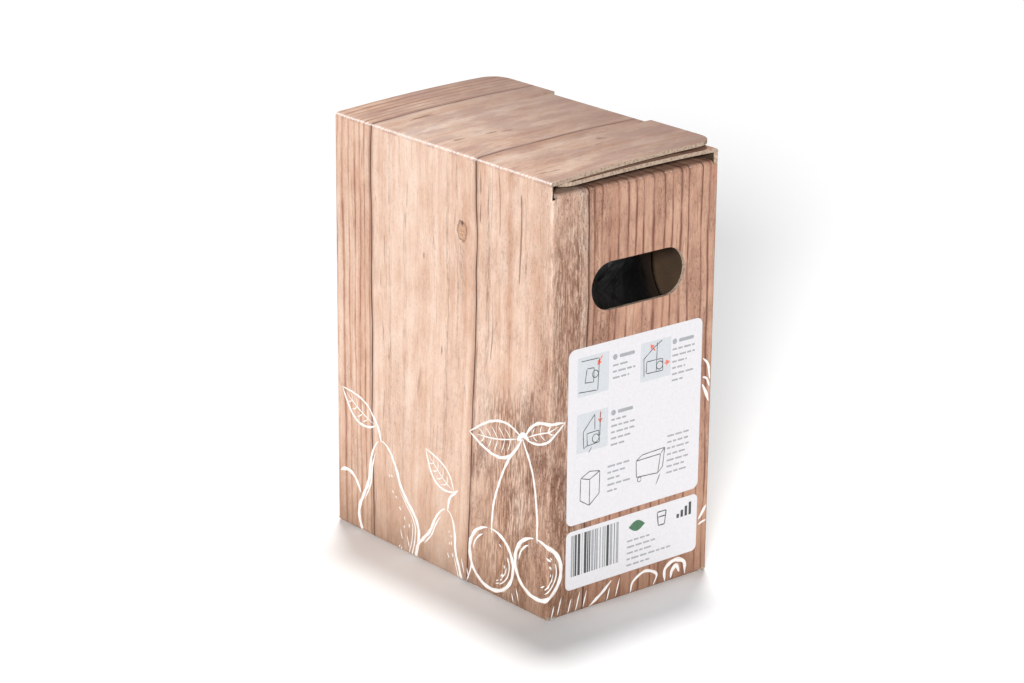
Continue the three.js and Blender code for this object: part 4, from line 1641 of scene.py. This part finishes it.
@dataclass
class PrintLayer:
    """One ink on the blank: strokes and fields that lie on the walls."""

    name: str
    ink: bpy.types.Material
    lift: float
    surface: Surface = field(default_factory=lambda: Surface(np.zeros((0, 3)), [], np.zeros((0, 2))))
    strokes: int = 0

    def stroke(self, line: np.ndarray, width: float, taper: float = 0.3, step: float = 0.7) -> None:
        """Adds a stroke of a soft brush: a band of even steps along a line.

        Its half width is the width times a quarter-sine at each end and a slow ripple between them.

        Args:
            line: Points (u, v) along the stroke.
            width: Width in millimetres.
            taper: Share of the length over which each end narrows.
            step: Longest step in millimetres.
        """
        line = np.asarray(line, float)
        gone = np.concatenate([[0.0], np.cumsum(np.hypot(*np.diff(line, axis=0).T))])
        count = max(int(gone[-1] / step), 3) + 1
        along = np.linspace(0, gone[-1], count)
        u, v = np.interp(along, gone, line[:, 0]), np.interp(along, gone, line[:, 1])
        du, dv = np.gradient(u), np.gradient(v)
        size = np.hypot(du, dv) + 1e-9
        share = along / gone[-1]
        end = np.clip(np.minimum(share, 1 - share) / max(taper, 1e-3), 0, 1)
        half = width / 2 * (0.22 + 0.78 * np.sin(end * np.pi / 2))
        half = half * (1 + 0.12 * np.sin(along * 0.9 + line[0, 0]))
        across = np.array([1.0, 0.5, 0.0, -0.5, -1.0])
        side_u = u[:, None] - (dv / size * half)[:, None] * across
        side_v = v[:, None] + (du / size * half)[:, None] * across
        # The ink ends half a millimetre above the floor
        inside = (side_v > 0.5).all(axis=1)
        keep = np.repeat((inside[1:] & inside[:-1])[:, None], 4, axis=1)
        side_v = np.maximum(side_v, 0.5)
        faces = [f[::-1] for f in grid_faces(count, 5, keep)]
        uv = np.stack([np.repeat(along[:, None], 5, 1).ravel(), np.tile(across, count)], axis=-1)
        # Strokes that cross lie a micrometre apart, so that no two faces share one plane
        self.strokes += 1
        lift = self.lift + 0.0011 * (self.strokes % 23)
        points = on_blank(side_u.ravel(), side_v.ravel(), lift)
        self.surface = self.surface.joined(Surface(points, faces, uv))

    def fill(self, outline: np.ndarray) -> None:
        """Adds a flat field inside an outline that runs anticlockwise.

        Args:
            outline: Points (u, v).
        """
        outline = np.asarray(outline, float)
        points = on_blank(outline[:, 0], outline[:, 1], self.lift)
        self.surface = self.surface.joined(Surface(points, [tuple(range(len(points)))], outline))

    def box(self, u0: float, u1: float, v0: float, v1: float, radius: float = 0.0) -> None:
        """Adds a rectangle with round corners."""
        self.fill(round_box(u0, u1, v0, v1, radius))

    def build(self) -> bpy.types.Object:
        """Puts the layer into one object on the carton."""
        return build_object(self.name, self.surface, [self.ink], Body.CARTON, Slot.PRINTED_BOARD, weld=0.002)


def round_box(u0: float, u1: float, v0: float, v1: float, radius: float) -> np.ndarray:
    """Outline of a rectangle with round corners, anticlockwise.

    Args:
        u0: Left.
        u1: Right.
        v0: Bottom.
        v1: Top.
        radius: Radius of the corners.

    Returns:
        Points (u, v).
    """
    if radius <= 0:
        return np.array([[u0, v0], [u1, v0], [u1, v1], [u0, v1]])
    corners = [(u1 - radius, v0 + radius, -90), (u1 - radius, v1 - radius, 0)]
    corners += [(u0 + radius, v1 - radius, 90), (u0 + radius, v0 + radius, 180)]
    return np.concatenate([arc((u, v), radius, turn, turn + 90, 6) for u, v, turn in corners])


def smooth_line(points: list, count: int = 60) -> np.ndarray:
    """A Catmull-Rom curve through points.

    Args:
        points: Points (u, v).
        count: Number of points to return.

    Returns:
        Points of the curve.
    """
    p = np.asarray(points, float)
    p = np.concatenate([[2 * p[0] - p[1]], p, [2 * p[-1] - p[-2]]])
    t = np.linspace(0, len(p) - 3 - 1e-9, count)
    i = t.astype(int)
    f = (t - i)[:, None]
    a, b, c, d = p[i], p[i + 1], p[i + 2], p[i + 3]
    return 0.5 * (2 * b + (c - a) * f + (2 * a - 5 * b + 4 * c - d) * f**2 + (3 * b - a - 3 * c + d) * f**3)


@dataclass
class ChalkFruit:
    """A generic chalk drawing of pears, cherries and leaves along the foot of the front wall."""

    layer: PrintLayer

    def closed(
        self, centre: tuple, half: tuple, neck: float, lean: float, start: float, end: float
    ) -> np.ndarray:
        """Part of a fruit's outline: an ellipse whose upper part narrows by the neck's share, leaning over.

        Args:
            centre: Centre (u, v).
            half: Half width and half height.
            neck: Share of the width lost at the top.
            lean: Turn in degrees.
            start: First angle in degrees, anticlockwise from the right.
            end: Last angle.

        Returns:
            Points (u, v).
        """
        t = np.radians(np.linspace(start, end, 90))
        high = (1 + np.sin(t)) / 2
        waist = np.clip((high - 0.38) / 0.36, 0, 1)
        x = half[0] * np.cos(t) * (1 - neck * waist**2 * (3 - 2 * waist))
        y = half[1] * np.sin(t)
        cos, sin = math.cos(math.radians(lean)), math.sin(math.radians(lean))
        return np.stack([centre[0] + x * cos - y * sin, centre[1] + x * sin + y * cos], axis=-1)

    def fruit(self, centre: tuple, half: tuple, neck: float, lean: float, width: float, seed: int) -> None:
        """Draws a fruit with a doubled outline and short shading ticks inside its right flank.

        Args:
            centre: Centre (u, v).
            half: Half width and half height.
            neck: Share of the width lost at the top.
            lean: Turn in degrees.
            width: Width of the outline.
            seed: Seed of the ticks' places.
        """
        self.layer.stroke(self.closed(centre, half, neck, lean, 100, 452), width, 0.12)
        inner = (half[0] - 3.0, half[1] - 3.4)
        self.layer.stroke(self.closed(centre, inner, neck, lean, -64, 22), width * 0.42, 0.3)
        self.layer.stroke(self.closed(centre, inner, neck, lean, 118, 176), width * 0.5, 0.3)
        inner = (half[0] - 5.2, half[1] - 6.0)
        self.layer.stroke(self.closed(centre, inner, neck, lean, -48, -4), width * 0.3, 0.3)
        rng = np.random.default_rng(seed)
        for _ in range(11):
            angle = rng.uniform(-75, 60)
            share = rng.uniform(0.52, 0.82)
            size = (half[0] * share, half[1] * share)
            span = rng.uniform(140, 260) / max(half[1], 8)
            self.layer.stroke(self.closed(centre, size, neck, lean, angle, angle + span), 0.75, 0.45)

    def leaf(self, base: tuple, tip: tuple, belly: float, width: float, veins: int) -> None:
        """Draws a leaf: two bowed edges, a midrib and slanted veins.

        Args:
            base: Stalk end (u, v).
            tip: Tip (u, v).
            belly: Half of its breadth.
            width: Width of its edges.
            veins: Veins on each side.
        """
        base, tip = np.asarray(base, float), np.asarray(tip, float)
        way = tip - base
        side = np.array([-way[1], way[0]]) / np.hypot(*way)
        share = np.linspace(0, 1, 60)[:, None]
        bow = np.sin(np.pi * share**0.8) * belly
        spine = base + way * share + side * np.sin(np.pi * share) * belly * 0.22
        self.layer.stroke(spine + side * bow, width, 0.2)
        self.layer.stroke(spine - side * bow, width * 0.8, 0.2)
        self.layer.stroke(spine[3:-8], width * 0.45, 0.3)
        for k in range(veins):
            at = 12 + int(k * 38 / veins)
            for sign in (1, -1):
                start, reach = spine[at], spine[at + 6] + sign * side * bow[at + 4] * 0.72
                middle = (start + reach) / 2 + side * sign * 0.6
                self.layer.stroke(np.array([start, middle, reach]), 0.6, 0.5)

    def ticks(self, spots: list, length: float, slant: float, width: float = 0.8) -> None:
        """Draws short loose strokes.

        Args:
            spots: Lower ends (u, v).
            length: Length in millimetres.
            slant: Sideways share of the length.
            width: Width.
        """
        for k, (u, v) in enumerate(spots):
            size = length * (0.75 + 0.5 * ((k * 0.618) % 1))
            middle, tip = [u + slant * size / 2, v + size / 2], [u + slant * size, v + size]
            self.layer.stroke(np.array([[u, v], middle, tip]), width, 0.5)

    def build(self) -> bpy.types.Object:
        """Draws the whole row and builds its layer.

        Returns:
            The layer's piece.
        """
        draw = self.layer
        # Two pears, one behind the other
        self.fruit((-131, 20), (27, 37), 0.46, 8, 2.3, 3)
        draw.stroke(smooth_line([(-136.2, 56.4), (-138.4, 63), (-144, 70)]), 2.0, 0.3)
        self.fruit((-86, 6), (20, 30), 0.44, -12, 2.0, 5)
        draw.stroke(smooth_line([(-79.8, 35.0), (-77.6, 43), (-71, 49)]), 1.8, 0.3)
        self.leaf((-141, 64), (-170, 78), 7.0, 1.5, 4)
        self.leaf((-75, 47), (-98, 64), 6.5, 1.4, 4)
        draw.stroke(self.closed((-166, 12), (15, 20), 0.1, 0, 30, 118), 2.0, 0.2)
        # Cherries on long stalks that hang over the upright corner
        self.fruit((-44, 20), (17.5, 16.5), 0.0, 0, 2.1, 7)
        self.fruit((-8, 26), (17.0, 16.0), 0.0, 0, 2.3, 11)
        draw.stroke(smooth_line([(-44, 34), (-42, 52), (-33, 74), (-20, 92)]), 1.5, 0.15)
        draw.stroke(smooth_line([(-8, 40), (-8.5, 56), (-12, 76), (-20, 92)]), 1.5, 0.15)
        draw.stroke(smooth_line([(-24, 90), (-20, 94), (-15, 93)]), 3.0, 0.3)
        self.leaf((-21, 92), (-62, 84), 9.5, 1.7, 5)
        self.leaf((-18, 93), (10.4, 104), 5.2, 1.6, 3)
        draw.stroke(smooth_line([(-64, 1), (-60, 12), (-62, 26)]), 1.2, 0.4)
        # Loose strokes at the foot of both walls
        self.ticks([(-26, 2), (-22, 4), (-62, 3), (-66, 5), (-112, 4), (-118, 7)], 6.5, -0.3)
        self.ticks([(3, 1.2), (7, 2), (14, 1.2), (19, 1), (24, 2), (40, 1), (46, 2)], 8.5, 0.28, 0.9)
        draw.stroke(smooth_line([(28, 1), (36, 6), (43, 11.5)]), 1.8, 0.35)
        draw.stroke(smooth_line([(56, 1), (58, 7), (66, 10.6), (74, 7), (72, 1.4)]), 1.6, 0.25)
        draw.stroke(smooth_line([(80, 1), (80, 8), (86, 11.4), (93, 9.0), (94, 2)]), 2.2, 0.25)
        draw.stroke(smooth_line([(84, 2), (85, 6), (88, 8), (90, 4)]), 2.4, 0.3)
        # Leaf tips beside the label fields
        draw.stroke(smooth_line([(102.5, 118), (106, 114), (107.6, 106)]), 1.5, 0.3)
        draw.stroke(smooth_line([(102.5, 108), (105.4, 106.5), (107.4, 102)]), 1.3, 0.3)
        draw.stroke(smooth_line([(102.5, 104), (105.5, 98), (107.2, 94)]), 2.0, 0.4)
        draw.stroke(smooth_line([(102.5, 30), (105, 33), (107.8, 37)]), 2.0, 0.4)
        draw.stroke(smooth_line([(102.5, 27), (105, 28), (108, 28.5)]), 1.3, 0.4)
        return draw.build()


@dataclass
class LabelFields:
    """Two white fields on the short wall with plain how-to-open pictograms, bars and a bar pattern."""

    white: PrintLayer
    tint: PrintLayer
    grey: PrintLayer
    dark: PrintLayer
    red: PrintLayer
    green: PrintLayer

    def words(self, u: float, v: float, lengths: list, seed: int) -> None:
        """Draws rows of short bars where small print stands.

        Args:
            u: Left end.
            v: Height of the first row.
            lengths: Length of each row.
            seed: Seed of the bars' lengths.
        """
        rng = np.random.default_rng(seed)
        for row, length in enumerate(lengths):
            at, top = u, v - 3.3 * row
            while at < u + length - 1:
                word = min(rng.uniform(2.2, 5.2), u + length - at)
                self.grey.box(at, at + word, top, top + 0.95, 0.3)
                at += word + 0.9

    def heading(self, u: float, v: float) -> None:
        """Draws a dot and a heavier bar."""
        self.grey.fill(arc((u, v), 1.5, 0, 340, 17))
        self.grey.box(u + 3.0, u + 13.0, v - 0.9, v + 0.9, 0.5)

    def arrow(self, tail: tuple, head: tuple) -> None:
        """Draws a red arrow with a filled point.

        Args:
            tail: Tail (u, v).
            head: Point (u, v).
        """
        tail, head = np.asarray(tail, float), np.asarray(head, float)
        way = (head - tail) / np.hypot(*(head - tail))
        side = np.array([-way[1], way[0]])
        neck = head - way * 2.6
        self.red.stroke(np.array([tail, (tail + neck) / 2, neck]), 0.8, 0.05)
        self.red.fill(np.array([neck - side * 1.6, head, neck + side * 1.6]))

    def lines(self, *paths: list, width: float = 0.42) -> None:
        """Draws thin dark lines."""
        for path in paths:
            self.dark.stroke(np.asarray(path, float), width, 0.02, 0.8)

    def ring(self, centre: tuple, radius: float) -> None:
        """Draws a thin dark circle."""
        self.lines(arc(centre, radius, 0, 360, 20))

    def tiles(self) -> None:
        """Draws the five pictograms, three of them on pale tiles."""
        for u0, v0 in ((18, 115), (59.5, 114), (18, 85.5)):
            self.tint.box(u0, u0 + 20.5, v0, v0 + 20.5, 0.6)
        # The door on the carton's underside
        self.lines([(20, 133.5), (32, 133.2)], [(32, 133.2), (31.2, 116.6)], [(18.4, 117.6), (31.2, 116.6)])
        self.lines([(24, 129), (28.6, 128.8), (28.4, 121.4), (22.8, 121.9), (24, 129)])
        self.ring((29.4, 125.4), 1.9)
        self.arrow((34, 134.2), (30.8, 129.4))
        # The tap drawn out through the door
        self.lines([(62, 116.5), (61.6, 126), (68.5, 131), (74, 133.8)], [(70.5, 133.5), (70.2, 118)])
        self.lines([(63.4, 118), (63.6, 124.2), (70.2, 124.2)])
        self.lines([(63.4, 118), (74.6, 117.6), (74.4, 124), (70.2, 124.2)])
        self.ring((72.4, 120.8), 2.1)
        self.arrow((69.2, 129), (65.8, 133.0))
        self.arrow((75.6, 121), (79.4, 121.4))
        # The tap locked in its frame
        self.lines([(22.6, 87.4), (22.2, 96.4), (29.6, 104.2), (29.8, 96)], [(22.6, 87.4), (25.6, 89)])
        self.lines([(25, 88.4), (24.6, 95), (32.4, 95.2), (33, 89), (25, 88.4)], [(33.2, 104.8), (33.2, 92)])
        self.ring((30.4, 91.4), 2.2)
        self.arrow((33.4, 105), (33.2, 98.6))
        self.lines([(28, 87.4), (25.8, 84.6)])
        # The carton upright
        self.lines([(21, 72), (20.8, 60.2), (27, 56.4), (33.4, 61.4), (33.6, 73.4), (27, 70.2), (21, 72)])
        self.lines([(27, 56.4), (27, 70.2)], [(21, 72), (27, 74.6), (33.6, 73.4)])
        # The carton lying on a shelf, pouring
        self.lines([(58, 72.6), (58.4, 63.8), (73, 62.8), (74.6, 72.8), (58, 72.6)])
        self.lines([(58, 72.6), (62, 75), (77.4, 75.6), (76.2, 65.6), (73, 62.8)])
        self.lines([(74.6, 72.8), (77.4, 75.6)])
        self.ring((60.4, 62.2), 1.3)
        self.lines([(74.6, 62), (71.8, 56.6)])

    def build(self) -> list:
        """Draws the fields and builds every ink's layer.

        Returns:
            The pieces.
        """
        self.white.box(12.0, 101.3, 48.0, 140.5, 4.0)
        self.white.box(12.0, 101.3, 13.4, 44.9, 3.2)
        self.tiles()
        for u, v in ((42.4, 131.4), (82.4, 131.2), (42.0, 102.2)):
            self.heading(u, v)
        self.words(41, 126.6, [10.5, 15, 11], 1)
        self.words(81, 126.6, [15.2, 15.4, 10, 9, 14.6, 7.5], 2)
        self.words(40.6, 98.0, [10, 15.8, 15.6, 14.6, 9], 3)
        self.words(38.8, 73.6, [14.6, 13, 9, 16, 6.5], 4)
        self.words(79, 80.6, [16, 14.5, 15, 12.5, 15.4, 13.8, 14.6], 5)
        # A pattern of upright bars
        rng = np.random.default_rng(12)
        at = 15.4
        while at < 47.2:
            bar = float(rng.choice([0.45, 0.8, 1.2, 1.6]))
            (self.dark if rng.uniform() < 0.55 else self.grey).box(at, at + bar, 20.4, 42.6)
            at += bar + float(rng.choice([0.45, 0.7, 1.1]))
        # A leaf, a glass and a short row of bars
        leaf = np.linspace(0, np.pi, 14)
        upper = np.stack([54 + 11 * leaf / np.pi, 37.4 + 2.9 * np.sin(leaf)], axis=-1)
        lower = np.stack([65 - 11 * leaf / np.pi, 37.4 - 2.9 * np.sin(leaf)], axis=-1)
        self.green.fill(np.concatenate([lower, upper])[:-1])
        self.lines([(73.4, 41), (74.4, 33.6), (78.6, 33.6), (79.6, 41), (73.4, 41)], width=0.6)
        self.lines([(73.9, 38.2), (79.2, 38.2)], width=0.6)
        for k in range(4):
            self.dark.box(87 + 2.8 * k, 88.7 + 2.8 * k, 34.4, 36.6 + 1.6 * k, 0.2)
        self.words(53, 29.6, [15.4, 20, 18, 30, 17], 6)
        layers = (self.white, self.tint, self.grey, self.dark, self.red, self.green)
        return [layer.build() for layer in layers]


# Contents


@dataclass
class DrinkBag:
    """The filled bag: a slumped pillow with a dome over the tap and a hollow beside the hand hole."""

    film: bpy.types.Material
    bottom: float = 7.0
    top: float = 212.6
    half_x: float = 82.6
    half_y: float = 49.7
    shoulder: float = 30.0
    shoulder_draw: float = 0.38
    foot: float = 12.0
    foot_draw: float = 0.16
    hollow: tuple = (118.0, 160.0, 24.5)
    pocket: tuple = (54.5, 0.0, 28.0, 43.0)
    squareness: float = 7.0

    def build(self) -> bpy.types.Object:
        """Builds the bag as a loft of rounded rectangles with ripples, closed at both ends.

        The outline's reach at an angle is (|cos|^k + |sin|^k)^(-1/k), its girth shrinks in quarter rounds
        at the foot and the shoulder, and ripples run in from the surface, deeper near the top.

        Returns:
            The bag.
        """
        rows, columns = 110, 161
        level = 0.5 - 0.5 * np.cos(np.linspace(0.02, math.pi - 0.02, rows))
        z = self.bottom + (self.top - self.bottom) * level
        angle = np.linspace(0, 2 * math.pi, columns)
        z, angle = np.meshgrid(z, angle, indexing="ij")
        c, s = np.cos(angle), np.sin(angle)
        reach = (np.abs(c) ** self.squareness + np.abs(s) ** self.squareness) ** (-1 / self.squareness)
        foot = np.clip((z - self.bottom) / self.foot, 0, 1)
        head = np.clip((self.top - z) / self.shoulder, 0, 1)
        girth = np.minimum(
            1 - self.foot_draw * (1 - np.sqrt(1 - (1 - foot) ** 2)),
            1 - self.shoulder_draw * (1 - np.sqrt(1 - (1 - head) ** 2)),
        )
        share = np.clip((z - self.hollow[0]) / (self.hollow[1] - self.hollow[0]), 0, 1)
        sunk = self.hollow[2] * share * share * (3 - 2 * share)
        x0, x1 = -self.half_x * girth, self.half_x * girth - sunk
        x = (x0 + x1) / 2 + (x1 - x0) / 2 * c * reach
        y = self.half_y * girth * s * reach
        rng = np.random.default_rng(7)
        ripple = np.zeros_like(x)
        for _ in range(14):
            around, up = rng.integers(2, 13), rng.uniform(0.02, 0.11)
            ripple += rng.uniform(0.3, 1) * np.abs(np.sin(around * angle / 2 + up * z + rng.uniform(0, 6)))
        ripple = ripple / ripple.max() * (0.8 + 2.2 * np.clip((z - 120) / 90, 0, 1))
        x -= ripple * c * reach
        y -= ripple * s * reach
        x[:, -1], y[:, -1] = x[:, 0], y[:, 0]
        px, py, pr, pz = self.pocket
        z = np.where((z < pz) & (np.hypot(x - px, y - py) < pr), pz, z)
        points = np.stack([x, y, z], axis=-1).reshape(-1, 3)
        closing_face = tuple((rows - 1) * columns + i for i in range(columns - 1))
        faces = [*grid_faces(rows, columns), closing_face]
        surface = Surface(points, faces, np.stack([angle.ravel() * 50, z.ravel()], axis=-1))
        surface = surface.joined(self.floor_sheet(x[0, :-1], y[0, :-1]))
        piece = build_object("drink_bag", surface, [self.film], Body.CARTON, Slot.BARRIER_FILM, weld=0.02)
        piece.data.shade_smooth()
        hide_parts("bag")
        return piece

    def floor_sheet(self, x: np.ndarray, y: np.ndarray) -> Surface:
        """The bag's underside, which rises in a smooth dome over the tap.

        Args:
            x: The outline's x.
            y: The outline's y.

        Returns:
            The underside, facing down.
        """
        count = len(x)
        px, py, pr, pz = self.pocket
        shares = np.linspace(1, 0.05, 44)
        grid_x = px + shares[:, None] * (np.append(x, x[0])[None, :] - px)
        grid_y = py + shares[:, None] * (np.append(y, y[0])[None, :] - py)
        away = np.hypot(grid_x - px, grid_y - py)
        ease = np.clip((pr + 5 - away) / 5, 0, 1)
        z = self.bottom + (pz - self.bottom) * ease * ease * (3 - 2 * ease)
        points = np.stack([grid_x, grid_y, z], axis=-1).reshape(-1, 3)
        faces = [f[::-1] for f in grid_faces(len(shares), count + 1)]
        cap = tuple((len(shares) - 1) * (count + 1) + i for i in range(count))
        return Surface(points, [*faces, cap[::-1]], np.stack([grid_x.ravel(), grid_y.ravel()], axis=-1))


# Studio


@dataclass(frozen=True)
class Studio:
    """Camera of the photograph, a white floor and soft lamps."""

    azimuth: float = 50.25
    elevation: float = 18.65
    roll: float = 0.54
    focal_pixels: float = 2986.7
    image_width: float = 1024.0
    place: tuple = (1127.6, -943.7, 609.9)
    floor_half: float = 6.0
    world_strength: float = 0.10

    def camera(self) -> None:
        """Sets the camera: its back axis from azimuth and elevation, then the roll about it."""
        a, e, r = (math.radians(x) for x in (self.azimuth, self.elevation, self.roll))
        back = Vector((math.sin(a) * math.cos(e), -math.cos(a) * math.cos(e), math.sin(e)))
        right = Vector((math.cos(a), math.sin(a), 0))
        up = back.cross(right)
        x_axis = right * math.cos(r) + up * math.sin(r)
        y_axis = up * math.cos(r) - right * math.sin(r)
        data = bpy.data.cameras.new("camera")
        data.sensor_width = 36.0
        data.lens = self.focal_pixels / self.image_width * data.sensor_width
        data.clip_end = 50
        camera = bpy.data.objects.new("camera", data)
        turn = Matrix((x_axis, y_axis, back)).transposed().to_4x4()
        camera.matrix_world = Matrix.Translation(Vector(self.place) * MM) @ turn
        bpy.context.scene.collection.objects.link(camera)
        bpy.context.scene.camera = camera

    def lamp(self, name: str, towards: tuple, strength: float, angle: float) -> None:
        """Adds a soft sun.

        Args:
            name: Its name.
            towards: Direction from the object to the lamp.
            strength: Its strength.
            angle: Its apparent size in degrees.
        """
        data = bpy.data.lights.new(name, "SUN")
        data.energy = strength
        data.angle = math.radians(angle)
        lamp = bpy.data.objects.new(name, data)
        lamp.rotation_euler = Vector(towards).to_track_quat("Z", "Y").to_euler()
        bpy.context.scene.collection.objects.link(lamp)

    def build(self) -> None:
        """Builds the camera, the floor, the lamps and the world."""
        self.camera()
        self.lamp("key", (0.66, -0.735, 0.315), 3.08, 9)
        self.lamp("overhead", (-0.18, 0.15, 1.0), 1.95, 8)
        world = bpy.data.worlds.new("studio")
        world.use_nodes = True
        background = world.node_tree.nodes["Background"]
        background.inputs["Color"].default_value = (1, 1, 1, 1)
        background.inputs["Strength"].default_value = self.world_strength
        bpy.context.scene.world = world
        size = self.floor_half
        mesh = bpy.data.meshes.new("floor")
        corners = [(-size, -size, 0), (size, -size, 0), (size, size, 0), (-size, size, 0)]
        mesh.from_pydata(corners, [], [(0, 1, 2, 3)])
        mesh.materials.append(StudioFloor().build())
        floor = bpy.data.objects.new("floor", mesh)
        bpy.context.scene.collection.objects.link(floor)
        floor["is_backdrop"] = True
        bpy.context.scene.view_settings.view_transform = "Standard"


def dress_cad_nodes() -> None:
    """Gives the tap's CAD nodes their moulded finishes."""
    finishes = {
        "spout_gland": MouldedPlastic("moulded_ldpe_gland", "#E9E9E6", "#DEDEDA", 0.34),
        "tap_body": MouldedPlastic("moulded_polypropylene_tap", "#F2F2EF", "#E8E8E4", 0.32),
        "tap_button": MouldedPlastic("moulded_red_polypropylene_button", "#B3342B", "#A22C25", 0.3),
        "valve_stem": MouldedPlastic("moulded_nitrile_rubber_valve", "#3D3D3D", "#333333", 0.6, 0.15),
    }
    for node, finish in finishes.items():
        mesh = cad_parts[node].data
        mesh.materials.clear()
        mesh.materials.append(finish.build())
        LOG.info("%s dressed as %s", node, finish.name)


def write_sizes() -> None:
    boxes = {"cad": cad_box, "visual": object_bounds()}
    plain = {key: [[float(c) for c in corner] for corner in box] for key, box in boxes.items()}


def main() -> None:
    """Builds the scene in order and reports each piece."""
    logging.basicConfig(level=logging.INFO, format="%(name)s %(message)s")
    Studio().build()
    printed = PlankPrint().build()
    flap_print = PlankPrint(name="offset_print_wood_planks_top", top_shade_fade=0.55).build()
    inside = KraftLiner().build()
    edge = BoardEdge().build()
    carton = CartonBlank(printed, inside, edge)
    carton.build()
    TopFlap(flap_print, inside, edge).build(carton)
    ChalkFruit(PrintLayer("chalk_fruit_row", ChalkInk().build(), 0.03)).build()
    inks = {
        "white_fields": FlatInk("offset_white_ink", "#EAE8EB", "#E4E2E5"),
        "pale_tiles": FlatInk("offset_pale_grey_ink", "#D8DBDF", "#D2D5D9"),
        "grey_bars": FlatInk("offset_light_grey_ink", "#AFB1B5", "#A4A6AA"),
        "dark_lines": FlatInk("offset_dark_grey_ink", "#4C504F", "#434746"),
        "red_arrows": FlatInk("offset_salmon_ink", "#F0806E", "#EA7866"),
        "green_leaf": FlatInk("offset_green_ink", "#4F7A5C", "#476F53"),
    }
    layers = [
        PrintLayer(name, finish.build(), 0.06 + 0.025 * min(k, 3))
        for k, (name, finish) in enumerate(inks.items())
    ]
    LabelFields(*layers).build()
    DrinkBag(BarrierFilm().build()).build()
    dress_cad_nodes()
    write_sizes()


if __name__ == "__main__":
    main()
